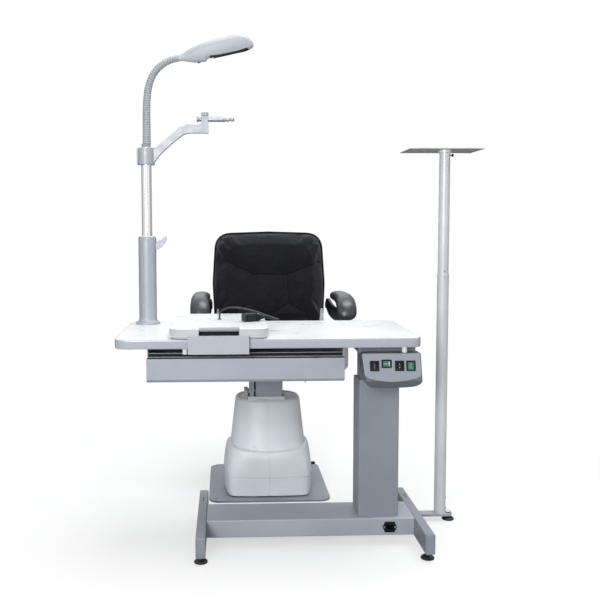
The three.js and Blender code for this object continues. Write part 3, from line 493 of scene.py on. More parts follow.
def path_through(points, count):
    """A smooth line through the points, as evenly spaced samples."""
    line = [Vector(p) for p in points]
    line = [line[0] * 2 - line[1], *line, line[-1] * 2 - line[-2]]
    dense = []
    for a, b, c, d in zip(line, line[1:], line[2:], line[3:]):
        for s in range(24):
            t = s / 24
            square, cube = 2 * a - 5 * b + 4 * c - d, 3 * b - a - 3 * c + d
            dense.append(0.5 * (2 * b + (c - a) * t + square * t * t + cube * t**3))
    dense.append(line[-2])
    lengths = [0.0]
    for a, b in zip(dense, dense[1:]):
        lengths.append(lengths[-1] + (b - a).length)
    samples, k = [], 0
    for i in range(count):
        target = lengths[-1] * i / (count - 1)
        while k < len(lengths) - 2 and lengths[k + 1] < target:
            k += 1
        span = max(lengths[k + 1] - lengths[k], 1e-9)
        samples.append(dense[k].lerp(dense[k + 1], min(1.0, (target - lengths[k]) / span)))
    return samples, lengths[-1]


def sweep_shape(line, radius, sides=20, start_side=None, squash=1.0):
    """A tube along a line, with a radius for each sample."""
    tangents = []
    for i in range(len(line)):
        a, b = line[max(i - 1, 0)], line[min(i + 1, len(line) - 1)]
        tangents.append((b - a).normalized())
    side = start_side or tangents[0].orthogonal()
    side = (side - tangents[0] * side.dot(tangents[0])).normalized()
    rings = []
    for point, tangent, r in zip(line, tangents, radius):
        side = (side - tangent * side.dot(tangent)).normalized()
        other = tangent.cross(side)
        ring = []
        for i in range(sides):
            angle = 2 * math.pi * i / sides
            ring.append(point + side * (r * math.cos(angle)) + other * (r * squash * math.sin(angle)))
        rings.append(ring)
    return skin(rings)


def refined(node, finish, width, segments=2, body=None, name=None):
    """A CAD node's own shape with its edges rounded, in the node's place."""
    shape = bmesh.new()
    shape.from_mesh(frame["nodes"][node].data)
    bmesh.ops.remove_doubles(shape, verts=shape.verts, dist=1e-6)
    bmesh.ops.dissolve_limit(shape, angle_limit=math.radians(0.7), verts=shape.verts, edges=shape.edges)
    soften(shape, width, segments)
    made = piece(name or node + "_skin", shape, body or frame["nodes"][node]["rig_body"], finish)
    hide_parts(node)
    return made


def instead(made, *nodes):
    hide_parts(*nodes)
    return made


def socket_screw(name, body, at, axis, radius, finish="steel", height=None):
    """A cap screw with a rounded head and a real socket."""
    tall = height or radius * 0.6
    hole = radius * 0.5
    profile = [
        (0.0, tall * 0.25), (hole, tall * 0.35), (hole, tall), (radius * 0.86, tall),
        (radius, tall * 0.7), (radius, -tall * 0.3), (0.0, -tall * 0.3),
    ]
    return lathe(name, body, finish, profile, at, axis, steps=24, rounding=radius * 0.12)


# ---- table base ----


def levelling_foot(node, body):
    low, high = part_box(node)
    centre = Vector(((low.x + high.x) / 2, (low.y + high.y) / 2, 0.0))
    pad = [
        (0, 0), (20.5, 0), (21.2, 1.2), (22.6, 1.2), (23, 3), (22.6, 5.5), (17.8, 10.2), (12.5, 11.6),
        (8, 12.2), (0, 12.2),
    ]
    made = lathe(node + "_pad", body, "rubber", [(r * MM, h * MM) for r, h in pad], centre, steps=72)
    instead(made, node)
    top = high.z
    thread = [(0, 0.0115)]
    height = 0.0125
    while height < top - 0.002:
        thread += [(0.0050, height), (0.0046, height + 0.0006)]
        height += 0.0012
    thread += [(0.0048, top), (0, top)]
    lathe(node + "_stud", body, "steel", thread, centre, steps=28, rounding=0)
    corners = [math.radians(60 * i + 10) for i in range(6)]
    nut = [(0.0085 * math.cos(a), 0.0085 * math.sin(a)) for a in corners]
    place = Matrix.Translation(centre)
    prism(node + "_nut", body, "steel", nut, 0.0135, 0.0185, edge=0.0006, place=place)


def table_base():
    # The bars and the column sleeve take the darker copy of the paint: painted shade.
    for node in ("foot_bar_left", "foot_bar_right"):
        refined(node, "dark_paint_and_painted_shade", 0.0016, 3)
    refined("cross_beam", "paint", 0.0012, 3)
    refined("column_sleeve", "dark_paint_and_painted_shade", 0.0009)
    refined("lift_actuator", "steel", 0.0008)
    refined("power_inlet", "black_plastic", 0.0007)
    for node in ("front_left", "front_right", "rear_left", "rear_right"):
        levelling_foot("levelling_foot_" + node, "foot_" + node)
    low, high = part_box("power_inlet")
    middle = (low.z + high.z) / 2
    for side, x in (("left", low.x + 0.0065), ("right", high.x - 0.0065)):
        socket_screw("inlet_screw_" + side, "base", (x, low.y, middle), FORWARD, 0.0031)
    for side, node in (("left", "foot_bar_left"), ("right", "foot_bar_right")):
        low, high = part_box(node)
        centre = (low.x + high.x) / 2
        # Black patches for the slots in the bars' tops: painted shade for the dark inside of each slot.
        for end, y in (("front", -0.487), ("rear", -0.462)):
            slot = rounded_box(centre - 0.0022, centre + 0.0022, y - 0.007, y + 0.007, 0.0021)
            prism(
                f"bar_slot_shade_{side}_{end}", "base", "black_plastic", slot, high.z - 0.001, high.z + 0.0004,
                edge=0.0002,
            )
        for end, y, facing in (("front", low.y, FORWARD), ("rear", high.y, -FORWARD)):
            inset = rounded_box(low.x + 0.0035, high.x - 0.0035, low.z + 0.0035, high.z - 0.0035, 0.003)
            reach = sorted((y - facing.y * 0.001, y + facing.y * 0.0016))
            prism(f"bar_cap_{side}_{end}", "base", "dark_paint_and_painted_shade", inset, *reach, plane="XZ", edge=0.0012)
    column_mouth()


def column_mouth():
    low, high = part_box("column_sleeve")
    inner_low, inner_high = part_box("inner_column")
    wall, gap = 0.003, 0.0004
    outer = rounded_box(
        low.x + wall + gap, high.x - wall - gap, low.y + wall + gap, high.y - wall - gap, 0.0035,
    )
    inner = rounded_box(inner_low.x - gap, inner_high.x + gap, inner_low.y - gap, inner_high.y + gap, 0.005)
    shape = ring_shape(outer, inner, high.z - 0.04, high.z - 0.014)
    piece("column_glide", shape, "base", "black_plastic")
    for name, x0, x1, y0, y1 in (
        ("front_left", low.x + wall + gap, inner_low.x - gap, inner_low.y + 0.012, inner_low.y + 0.034),
        ("rear_left", low.x + wall + gap, inner_low.x - gap, inner_high.y - 0.034, inner_high.y - 0.012),
        ("front_right", inner_high.x + gap, high.x - wall - gap, inner_low.y + 0.012, inner_low.y + 0.034),
        ("rear_right", inner_high.x + gap, high.x - wall - gap, inner_high.y - 0.034, inner_high.y - 0.012),
    ):
        outline = box_outline(x0, x1, y0, y1)
        prism(
            "glide_pad_" + name, "base", "white_plastic", outline, high.z - 0.05, high.z - 0.002, edge=0.0008,
        )
    rim_outer = rounded_box(low.x - 0.0004, high.x + 0.0004, low.y - 0.0004, high.y + 0.0004, 0.0074)
    rim_inner = rounded_box(low.x + wall, high.x - wall, low.y + wall, high.y - wall, 0.004)
    piece(
        "column_rim", ring_shape(rim_outer, rim_inner, high.z - 0.0012, high.z + 0.0008), "base", "pale_paint",
    )
    centre = (low.x + high.x) / 2
    plug = [(0, 0.0016), (0.0038, 0.0018), (0.0062, 0.0008), (0.0068, -0.001), (0, -0.001)]
    lathe(
        "column_plug", "base", "dark_paint_and_painted_shade", plug, (centre + 0.005, low.y, high.z - 0.041), FORWARD, steps=32,
    )
    strip = box_outline(centre - 0.0125, centre - 0.0117, low.z + 0.004, high.z - 0.02)
    prism(
        "column_seam", "base", "dark_paint_and_painted_shade", strip, low.y - 0.00025, low.y + 0.0005, plane="XZ", edge=0.0002,
    )


# ---- rising table ----


def edge_band():
    low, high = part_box("edge_band")
    corner = 0.045
    top, bottom = high.z, low.z
    profile = [
        (0.0019, top + 0.0001), (0.0008, top + 0.0006), (-0.0003, top - 0.0006), (-0.0010, top - 0.0045),
        (-0.0011, (top + bottom) / 2), (-0.0008, bottom + 0.0045), (0.0, bottom + 0.0010), (0.0011, bottom),
        (0.0019, bottom + 0.0004),
    ]
    rows = []
    for inset, z in profile:
        line = rounded_box(low.x + inset, high.x - inset, low.y + inset, high.y - inset, corner - inset, 12)
        rows.append([Vector((p.x, p.y, z)) for p in line])
    instead(
        piece("edge_band_skin", skin(rows, closed=True, caps=False), "table", "edge_plastic", 60.0),
        "edge_band",
    )


def slab(node, corner, edge):
    """A flat board with round corners, and the box of its CAD solid."""
    low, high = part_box(node)
    line = rounded_box(low.x, high.x, low.y, high.y, corner, 12)
    shape = skin([[Vector((p.x, p.y, z)) for p in line] for z in (low.z, high.z)])
    return low, high, soften(shape, edge, 3)


def rising_table():
    refined("inner_column", "pale_paint", 0.0008)
    refined("actuator_rod", "chrome", 0.0004)
    # The column head takes the darker copy of the paint: painted shade under the table.
    refined("column_head", "dark_paint_and_painted_shade", 0.001)
    low, high, top = slab("tabletop", 0.043, 0.0005)
    instead(piece("tabletop_skin", top, "table", "laminate"), "tabletop")
    edge_band()
    refined("drawer_cabinet", "paint", 0.0007)
    refined("front_rail", "black_plastic", 0.0004)
    low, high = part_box("front_rail")
    strip = [
        (low.y - 0.0009, high.z - 0.0026), (low.y + 0.0012, high.z - 0.0026),
        (low.y + 0.0012, high.z - 0.0004), (low.y - 0.0009, high.z - 0.0004),
    ]
    prism("rail_trim", "table", "dark_paint_and_painted_shade", strip, low.x + 0.001, high.x - 0.001, plane="YZ", edge=0.0004)
    low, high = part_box("drawer_front")
    outline = [
        (low.y, low.z + 0.0085), (low.y, high.z), (high.y, high.z), (high.y, low.z), (low.y + 0.0075, low.z),
    ]
    front = prism_shape(outline, low.x, high.x, plane="YZ", edge=0.0011, segments=3)
    instead(piece("drawer_front_skin", front, "drawer", "paint"), "drawer_front")
    seal = box_outline(low.x + 0.002, high.x - 0.002, low.y + 0.0012, high.y - 0.0005)
    prism("drawer_seal", "drawer", "black_plastic", seal, high.z - 0.0005, high.z + 0.0026, edge=0.0004)
    refined("drawer_tray", "paint", 0.0005)
    for side in ("left", "right"):
        low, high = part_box("bumper_" + side)
        centre = ((low.x + high.x) / 2, (low.y + high.y) / 2, low.z)
        r, tall = 0.0085, high.z - low.z
        profile = [
            (0, 0.004), (0.003, 0.0042), (0.0033, 0.0002), (r - 0.0012, 0), (r, 0.0012), (r, tall * 0.55),
            (r - 0.0004, tall * 0.58), (r - 0.0004, tall * 0.64), (r, tall * 0.67), (r, tall), (0, tall),
        ]
        made = lathe(
            f"bumper_{side}_skin", "table", "white_plastic", profile, centre, steps=40, rounding=0.0004,
        )
        instead(made, "bumper_" + side)
        socket_screw(f"bumper_{side}_screw", "table", (centre[0], centre[1], low.z + 0.005), -UP, 0.0026)
    low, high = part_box("drawer_cabinet")
    hook = [
        (0.0785, low.z), (0.0925, low.z), (0.0925, low.z - 0.006), (0.0890, low.z - 0.0175, 0.001),
        (0.0870, low.z - 0.0175, 0.001),
        (0.0865, low.z - 0.006),
    ]
    prism("cable_hook", "table", "steel", hook, -0.775, -0.7735, plane="XZ", edge=0.0003, rounding=0.0008)


def instrument_board():
    refined("board_carriage", "pale_paint", 0.0007, 3)
    low, high, slab_shape = slab("instrument_board", 0.038, 0.0022)
    latch_low, latch_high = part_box("board_latch")
    half = 0.065
    centre = (latch_low.x + latch_high.x) / 2
    mouth = box_outline(centre - half, centre + half, low.y - 0.01, low.y + 0.026)
    opening = prism_shape(mouth, high.z - 0.024, high.z + 0.01, edge=0.0)
    hole = lathe_shape(
        [(0, -0.012), (0.006, -0.012), (0.006, 0.004), (0, 0.004)], (centre, -0.607, high.z), steps=32,
        rounding=0,
    )
    board = carve(slab_shape, opening, hole)
    instead(piece("instrument_board_skin", board, "carriage", "laminate"), "instrument_board")
    outer = rounded_box(low.x - 0.0004, high.x + 0.0004, low.y - 0.0004, high.y + 0.0004, 0.0384, 12)
    inner = rounded_box(low.x + 0.0012, high.x - 0.0012, low.y + 0.0012, high.y - 0.0012, 0.0368, 12)
    opening = prism_shape(mouth, high.z - 0.024, high.z + 0.01, edge=0.0)
    band = carve(ring_shape(outer, inner, low.z + 0.0026, high.z - 0.0024, edge=0.0), opening)
    piece("board_band", band, "carriage", "board_edge", 60.0)
    liner(low, high, centre, half)
    cord(centre, high.z)
    latch = [
        (low.y - 0.0005, high.z - 0.0095), (low.y + 0.0035, high.z - 0.0095),
        (low.y + 0.0065, high.z - 0.005),
        (low.y + 0.023, high.z - 0.005), (low.y + 0.023, high.z + 0.0006),
        (low.y + 0.002, high.z + 0.0006, 0.001),
        (low.y - 0.0012, high.z - 0.003, 0.001),
    ]
    lip = prism_shape(
        latch, centre - half + 0.001, centre + half - 0.001, plane="YZ", edge=0.0009, rounding=0.0004,
    )
    instead(piece("board_latch_skin", lip, "latch", "dark_paint_and_painted_shade"), "board_latch")
    face_low, face_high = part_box("board_carriage")
    screw = (face_high.x - 0.017, face_low.y, face_high.z - 0.012)
    socket_screw("carriage_screw", "carriage", screw, FORWARD, 0.0016, height=0.0008)


def liner(low, high, centre, half):
    """A dark tray inside the board's finger recess: painted shade, darkening the recess where shade falls."""
    wall = 0.0006
    front, back = low.y + 0.0005, low.y + 0.0258
    floor = high.z - 0.0238
    outer = [
        (centre - half + 0.0002, front), (centre + half - 0.0002, front), (centre + half - 0.0002, back),
        (centre - half + 0.0002, back),
    ]
    solid = prism_shape(outer, floor, high.z - 0.0055, edge=0.0)
    room = prism_shape(
        box_outline(centre - half + wall, centre + half - wall, front - 0.005, back - wall), floor + wall,
        high.z + 0.01, edge=0.0,
    )
    piece("recess_shade_tray", carve(solid, room), "carriage", "black_plastic")


def cord(centre, top):
    """The instrument's mains lead, from its grommet over a loop to a loose connector."""
    middle = -0.607
    start = Vector((centre, middle, top))
    offsets = [
        (0, 0, -8), (0, 0, 14), (6, -3, 29), (26, -8, 40), (52, -12, 43), (86, -16, 39), (130, -26, 28),
        (172, -38, 14), (200, -44, 5),
        (206, -38, 3.6), (196, -33, 3.6), (180, -34, 6), (166, -40, 11),
    ]
    line = path_through([start + Vector(p) * MM for p in offsets], 150)[0]
    shape = sweep_shape(line, [0.0033] * len(line), 14)
    lead = piece("cord_skin", shape, "carriage", "rubber")
    instead(lead, "instrument_cord")
    ring = [
        (0.0028, 0.0026), (0.0058, 0.0022), (0.0078, 0.0008), (0.0078, 0.0001), (0.0059, 0.0001),
        (0.0058, -0.004), (0.0028, -0.004),
    ]
    lathe("cord_grommet", "carriage", "rubber", ring, start, steps=36, closed=True, rounding=0.0004)
    aside = Matrix.Rotation(math.radians(22), 4, "Z")
    grip = Matrix.Translation((centre + 0.123, middle - 0.058, top + 0.0138)) @ aside
    grip = grip @ Matrix.Scale(1.36, 4)
    boot = [(0, 0.0340), (0.0030, 0.0340)]
    for i in range(8):
        x0 = 0.0335 - i * 0.0030
        r = 0.0038 + i * 0.00048
        boot += [(r, x0), (r, x0 - 0.0016), (r * 0.78, x0 - 0.0017), (r * 0.78, x0 - 0.0029)]
    boot.append((0, 0.006))
    shape = lathe_shape(boot, (0, 0, 0), RIGHT, steps=28, rounding=0.0002)
    shape.transform(grip)
    piece("plug_boot", shape, "carriage", "rubber")
    body = [
        (-0.030, -0.0095, 0.002), (0.000, -0.0102, 0.003), (0.011, -0.0065, 0.003), (0.011, 0.0065, 0.003),
        (0.000, 0.0102, 0.003),
        (-0.030, 0.0095, 0.002),
    ]
    prism(
        "plug_body", "carriage", "black_plastic", body, -0.0140, 0.0140, plane="XZ", edge=0.0022, place=grip,
        segments=3,
    )
    face = rounded_box(-0.0125, 0.0125, -0.0085, 0.0085, 0.003)
    nose = prism_shape([tuple(p) for p in face], -0.0325, -0.0295, plane="YZ", edge=0.0006)
    nose.transform(grip)
    piece("plug_nose", nose, "carriage", "rubber")
    for i in range(4):
        dx = -0.0225 + i * 0.0052
        bar = rounded_box(dx - 0.0014, dx + 0.0014, -0.0102, 0.0102, 0.0012)
        prism(
            f"plug_rib_{i}", "carriage", "rubber", bar, -0.0152, 0.0152, plane="XZ", edge=0.0010, place=grip,
        )


# ---- control box ----

FASCIA = (
    Matrix.Translation(TABLE + Vector((0.243, -0.246, 0.707)))
    @ Matrix.Rotation(math.pi / 2 - 0.232, 4, "X")
)
FASCIA_FACE = 0.0033
SWITCHES = (
    ("table", -0.0575, 0.0405, 0.0274, 0.0304, "black_plastic", "X"),
    ("projector", -0.018, 0.0335, 0.0304, 0.024, "green_lens", "Y"),
    ("chair", 0.024, 0.0405, 0.0274, 0.0304, "black_plastic", "X"),
    ("power", 0.061, 0.0405, 0.0274, 0.0304, "green_lens", "X"),
)


def control_box():
    # The box body takes the darkest copy of the paint and the fascia the darker one: painted shade.
    refined("control_box", "paint_with_deep_painted_shade", 0.0018, 3)
    refined("control_fascia", "dark_paint_and_painted_shade", 0.0014, 3)
    for name, x, drop, wide, tall, finish, axis in SWITCHES:
        switch(name, x, -drop, wide, tall, finish, axis)


def switch(name, x, y, wide, tall, finish, axis):
    lip = 0.0015
    outer = rounded_box(
        x - wide / 2 - lip, x + wide / 2 + lip, y - tall / 2 - lip, y + tall / 2 + lip, 0.0016,
    )
    inner = rounded_box(
        x - wide / 2 + 0.0035, x + wide / 2 - 0.0035, y - tall / 2 + 0.003, y + tall / 2 - 0.003, 0.0008,
    )
    bezel = ring_shape(outer, inner, FASCIA_FACE, FASCIA_FACE + 0.0022, edge=0.0006, place=FASCIA)
    piece(f"{name}_bezel", bezel, "table", "black_plastic")
    half, span = tall / 2 - 0.0034, wide / 2 - 0.0039
    if axis != "X":
        half, span = span, half
    top = [(half * math.cos(t), 0.0044 - 0.0021 * math.sin(t)) for t in (math.pi * i / 12 for i in range(13))]
    outline = [(-half, -0.003), (half, -0.003), *top]
    shape = prism_shape(outline, -span, span, plane="YZ", edge=0.0005)
    if axis == "Y":
        shape.transform(Matrix.Rotation(math.pi / 2, 4, "Z"))
    shape.transform(FASCIA @ Matrix.Translation((x, y, 0.0)))
    body = f"{name}_switch"
    instead(piece(f"{name}_rocker_skin", shape, body, finish, 50.0), f"{name}_rocker")
    marks(name, body, x, y, half, axis)


def marks(name, body, x, y, half, axis):
    """Plain raised arrows and a bar on the rocker, which say nothing but which end to press."""
    turn = Matrix.Rotation(math.pi / 2, 4, "Z") if axis == "Y" else Matrix.Identity(4)
    arrow = 0.0019
    parts = []
    for sign in (-1, 1):
        centre = sign * half * 0.52
        tri = [
            (-arrow, centre - sign * arrow * 0.6), (arrow, centre - sign * arrow * 0.6),
            (0, centre + sign * arrow * 0.9),
        ]
        parts.append((f"{name}_arrow_{'low' if sign < 0 else 'high'}", tri, 0.0026, 0.0033))
    dash = [(-arrow, -0.0005), (arrow, -0.0005), (arrow, 0.0005), (-arrow, 0.0005)]
    parts.append((f"{name}_dash", dash, 0.0018, 0.0026))
    for label, outline, low, high in parts:
        shape = prism_shape(outline, low, high, edge=0.0)
        shape.transform(FASCIA @ Matrix.Translation((x, y, 0.0)) @ turn)
        piece(label, shape, body, "mark")


# ---- pole, arm and lamp ----

POLE = TABLE + Vector((-0.587, 0.190, 0.0))


def pole_sleeve():
    foot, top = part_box("pole_sleeve")[0].z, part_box("pole_sleeve")[1].z
    r, inner = 0.033, 0.0193
    profile = [
        (0.029, foot), (0.0450, foot, 0.0008), (0.0450, foot + 0.0062, 0.0022),
        (0.0405, foot + 0.0082, 0.002), (0.0375, foot + 0.0094, 0.003),
        (0.0338, foot + 0.0150, 0.004), (r, foot + 0.022, 0.004), (r, top - 0.0105, 0.0002),
        (r - 0.0005, top - 0.0102, 0.0002),
        (r - 0.0005, top - 0.0096, 0.0002), (r + 0.0002, top - 0.0092, 0.0002),
        (r + 0.0002, top - 0.0022, 0.0018), (r - 0.003, top + 0.0002, 0.002),
        (inner + 0.004, top + 0.0002, 0.001), (inner, top - 0.0012),
        (inner, top - 0.045), (0.029, top - 0.050),
    ]
    made = lathe("pole_sleeve_skin", "table", "paint", profile, POLE, steps=96, closed=True, rounding=0.0)
    instead(made, "pole_sleeve")
    cap = [
        (inner + 0.0002, top + 0.0004), (r - 0.0036, top + 0.0004, 0.0008), (r - 0.0012, top - 0.001, 0.0010),
        (r - 0.0012, top - 0.003), (inner + 0.0002, top - 0.003),
    ]
    shifted = [(p[0], p[1] + 0.0032, *p[2:]) for p in cap]
    lathe("sleeve_cap", "table", "stand_paint", shifted, POLE, steps=96, closed=True, rounding=0.0)
    for i in range(3):
        angle = math.radians(90 + 120 * i)
        at = POLE + Vector((0.0405 * math.cos(angle), 0.0405 * math.sin(angle), foot + 0.0078))
        socket_screw(f"flange_screw_{i}", "table", at, UP, 0.0026)


def pole_tube():
    low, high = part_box("pole_tube")
    wall = [
        (0.0165, low.z), (0.019, low.z, 0.001), (0.019, high.z - 0.014, 0.0006),
        (0, high.z - 0.014), (0, high.z - 0.022), (0.0165, high.z - 0.022),
    ]
    tube = lathe("pole_tube_skin", "pole", "chrome", wall, POLE, steps=96, closed=True, rounding=0.0)
    instead(tube, "pole_tube")
    base = high.z - 0.0139
    ferrule = [(0, base), (0.0172, base, 0.0004)]
    height = base + 0.0018
    for _ in range(4):
        ferrule += [
            (0.0172, height, 0.0003), (0.0158, height + 0.0006, 0.0003), (0.0158, height + 0.0014, 0.0003),
            (0.0172, height + 0.0020, 0.0003),
        ]
        height += 0.0030
    ferrule += [(0.0160, height, 0.0005), (0, height)]
    lathe("neck_ferrule", "pole", "neck_plastic", ferrule, POLE, steps=64, rounding=0.0)


def clamp_lever():
    """The crescent clamp lever beside the sleeve, drawn in the plane of its swing."""
    crescent = [
        (31.5, 1035.0, 2), (41, 1036.2, 12), (55, 1045, 20), (67, 1062, 20), (72.5, 1079, 6), (70.8, 1085, 3),
        (66, 1085.5, 3),
        (60.5, 1079, 6), (53, 1070.5, 4), (47, 1071.5, 4), (34, 1070, 2), (34, 1057, 2), (38.5, 1053, 2),
        (33, 1045, 2),
    ]
    crescent = [(POLE.x + x * MM, z * MM, r * MM) for x, z, r in crescent]
    lever = prism_shape(crescent, POLE.y - 0.0065, POLE.y + 0.0065, plane="XZ", edge=0.0024, segments=3)
    instead(piece("clamp_lever_skin", lever, "pole_clamp", "paint"), "clamp_lever")
    ends = ((67.5, 1064), (70.8, 1079), (69, 1081), (65.2, 1066))
    rib = [(POLE.x + x * MM, z * MM, 0.001) for x, z in ends]
    prism(
        "clamp_grip", "pole_clamp", "pale_paint", rib, POLE.y - 0.0073, POLE.y + 0.0073, plane="XZ",
        edge=0.0008,
    )


def refractor_arm():
    x = POLE.x
    outline = [
        (x + 0.024, 1.349, 0.001), (x + 0.050, 1.385, 0.03), (x + 0.100, 1.431, 0.05),
        (x + 0.138, 1.4600, 0.03), (x + 0.160, 1.4662, 0.012),
        (x + 0.231, 1.466, 0.002), (x + 0.231, 1.527, 0.002), (x + 0.205, 1.527, 0.002),
        (x + 0.205, 1.496, 0.010),
        (x + 0.150, 1.497, 0.030), (x + 0.124, 1.486, 0.02), (x + 0.028, 1.404, 0.001),
    ]
    bar = prism_shape(outline, POLE.y - 0.013, POLE.y + 0.013, plane="XZ", edge=0.0032, segments=4)
    hub = lathe_shape(
        [
            (0, 1.349), (0.0315, 1.349, 0.0018), (0.0315, 1.352, 0.0006), (0.0309, 1.3526, 0.0003),
            (0.0315, 1.3532, 0.0006), (0.0315, 1.411, 0.0022), (0, 1.411),
        ],
        POLE, steps=96, rounding=0.0,
    )
    lug = prism_shape(
        [(x - 0.0345, 1.351), (x - 0.020, 1.351), (x - 0.020, 1.409), (x - 0.0345, 1.409)],
        POLE.y - 0.0075, POLE.y + 0.0105, plane="XZ", edge=0.0018, segments=3,
    )
    bore = lathe_shape([(0, 1.34), (0.0193, 1.34), (0.0193, 1.42), (0, 1.42)], POLE, steps=64, rounding=0.0)
    rod_hole = lathe_shape(
        [(0, x + 0.2), (0.0100, x + 0.2), (0.0100, x + 0.24), (0, x + 0.24)], (0, POLE.y, 1.517), RIGHT,
        steps=48, rounding=0.0,
    )
    solid = carve(hub, bar, lug, operation="UNION")
    solid = carve(solid, bore, rod_hole)
    instead(piece("refractor_arm_skin", solid, "arm", "pale_paint", 30.0), "refractor_arm")
    for i, z in enumerate((1.366, 1.394)):
        socket_screw(f"hub_screw_{i}", "arm", (x - 0.0275, POLE.y - 0.0076, z), FORWARD, 0.0034)
    cap_low, cap_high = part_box("arm_cap")
    tall = cap_high.z - cap_low.z
    profile = [
        (0, 0), (0.0120, 0, 0.0006), (0.0134, 0.0014, 0.0004), (0.0134, tall - 0.0022, 0.0006),
        (0.0122, tall - 0.0006, 0.0008),
        (0.0060, tall, 0.0006), (0.0052, tall - 0.0016, 0.0004), (0, tall - 0.0016),
    ]
    at = ((cap_low.x + cap_high.x) / 2, (cap_low.y + cap_high.y) / 2, cap_low.z)
    cap = lathe(
        "arm_cap_skin", "arm_clamp", "paint", profile, at, steps=72, rounding=0.0, knurl=0.0133, depth=0.035,
    )
    instead(cap, "arm_cap")


def holder_rod():
    at = (0, POLE.y, 1.517)
    x = POLE.x
    stations = [
        (0, 188, 0), (8.5, 188, 0.6), (10.6, 189.5, 0.6), (10.6, 192, 0.6), (8.4, 194.5, 0.5),
        (7.6, 198, 0.5), (8.6, 202.5, 0.4), (8.6, 204, 0.4),
        (9.5, 204.6, 0.3), (9.5, 292, 0.8), (8.2, 294, 0.4), (7.6, 296, 0.4), (7.6, 308, 0.4),
        (6.4, 309, 0.3), (6.4, 311, 0.3),
        (7.2, 312, 0.4), (7.2, 325, 0.6), (5.8, 327, 0.4), (0, 327, 0),
    ]
    profile = [(r * MM, x + h * MM, f * MM) for r, h, f in stations]
    rod = lathe_shape(profile, at, RIGHT, steps=56, rounding=0.0)
    hole = lathe_shape(
        [(0, -0.012), (0.0026, -0.012), (0.0026, 0.012), (0, 0.012)], (x + 0.3185, POLE.y, 1.517), FORWARD,
        steps=28, rounding=0.0,
    )
    instead(piece("holder_rod_skin", carve(rod, hole), "rod", "steel"), "holder_rod")
    socket_screw("rod_set_screw", "rod", (x + 0.302, POLE.y, 1.5094), -UP, 0.0028, height=0.0032)


NECK_POINTS = (
    (2.5, 1427.3), (3, 1540), (5, 1590), (11, 1632), (23, 1668), (43, 1698), (71, 1721), (100, 1734),
    (131, 1740),
)


def gooseneck():
    """Ribbed tube in two lengths that meet in a ball at the knee, so it can bend there without opening."""
    points = [POLE + Vector((px, 0, pz)) * MM for px, pz in NECK_POINTS]
    rings = 560
    line, length = path_through(points, rings)
    stop = int(rings * 0.978)
    pitch = 0.0088
    pivot = Vector((POLE.x + 0.002, POLE.y, 1.5641))
    knee = min(range(stop), key=lambda i: (line[i] - pivot).length)
    radius = []
    for i in range(stop):
        along = length * (i - knee) / (rings - 1)
        rib = 0.5 - 0.5 * math.cos(2 * math.pi * along / pitch)
        taper = 0.0158 + (0.0121 - 0.0158) * i / rings
        radius.append(taper * (0.89 + 0.11 * rib**0.7))
    lean = (line[knee + 3] - line[knee - 3]).normalized()
    turns = (0.3, 0.6, 0.9, 1.2, 1.45)
    ball = [(lean * math.sin(t) * radius[knee], radius[knee] * math.cos(t)) for t in turns]
    below = line[: knee + 1] + [line[knee] + step for step, _ in ball]
    above = [line[knee] - step for step, _ in reversed(ball)] + line[knee:stop]
    small = [r for _, r in ball]
    for name, body, node, path, sizes in (
        ("gooseneck_lower_skin", "neck_base", "neck_lower", below, radius[: knee + 1] + small),
        ("gooseneck_upper_skin", "neck_top", "neck_upper", above, small[::-1] + radius[knee:]),
    ):
        shape = sweep_shape(path, sizes, 32, Vector((0, 1, 0)))
        instead(piece(name, shape, body, "neck_plastic", 60.0, weighted=False), node)
    tip = (line[stop - 1] - line[stop - 12]).normalized()
    collar = [(0, -0.008), (0.0112, -0.008, 0.0008), (0.0112, 0.003, 0.0006), (0, 0.003)]
    lathe("neck_collar", "neck_top", "neck_plastic", collar, line[stop - 1], tip, steps=48, rounding=0.0)


LAMP_TURN = Matrix.Rotation(-0.218, 4, "Y") @ Matrix.Rotation(0.16, 4, "X")
LAMP = Matrix.Translation(POLE + Vector((0.131, 0, 1.740))) @ LAMP_TURN
LAMP_SECTIONS = (
    (-9, 11, 10.5, -10.5), (-2, 11.6, 11.4, -11.2), (6, 12.4, 13, -13), (18, 15, 17.5, -17),
    (46, 23.5, 27.5, -26.5), (70, 28.5, 32.6, -30.2),
    (87, 30.8, 35, -31.6), (90.5, 31, 35.6, -30.5), (92, 31.2, 35.8, -25.5), (116, 32.8, 37.4, -27.2),
    (140, 34, 38.6, -28), (175, 34.9, 39.4, -28.2),
    (205, 35, 40.2, -28), (222, 34.6, 40.4, -27.4), (236, 33.4, 38, -26.6), (247, 31.4, 32.5, -25.4),
    (256, 28.2, 24.5, -23.6), (263, 23.8, 15, -21.2),
    (268, 18.4, 6, -18.2), (271, 12, -2, -15), (272, 7, -6, -12.5),
)


def rim_height(x):
    """Height of the lamp's underside at a distance along it."""
    stations = [(s * MM, low * MM) for s, _, _, low in LAMP_SECTIONS]
    for (a, low_a), (b, low_b) in zip(stations, stations[1:]):
        if a <= x <= b:
            return low_a + (low_b - low_a) * (x - a) / (b - a)
    return 0.0


def lamp_outline(inset, steps=10):
    half, end = 28 - inset, 252 - inset
    line = [
        (104 + inset, -half, 4), (end - 2, -half, 22), (end + 2, 0, 30), (end - 2, half, 22),
        (104 + inset, half, 4),
    ]
    return [p * MM for p in fillet(line, steps=steps)]


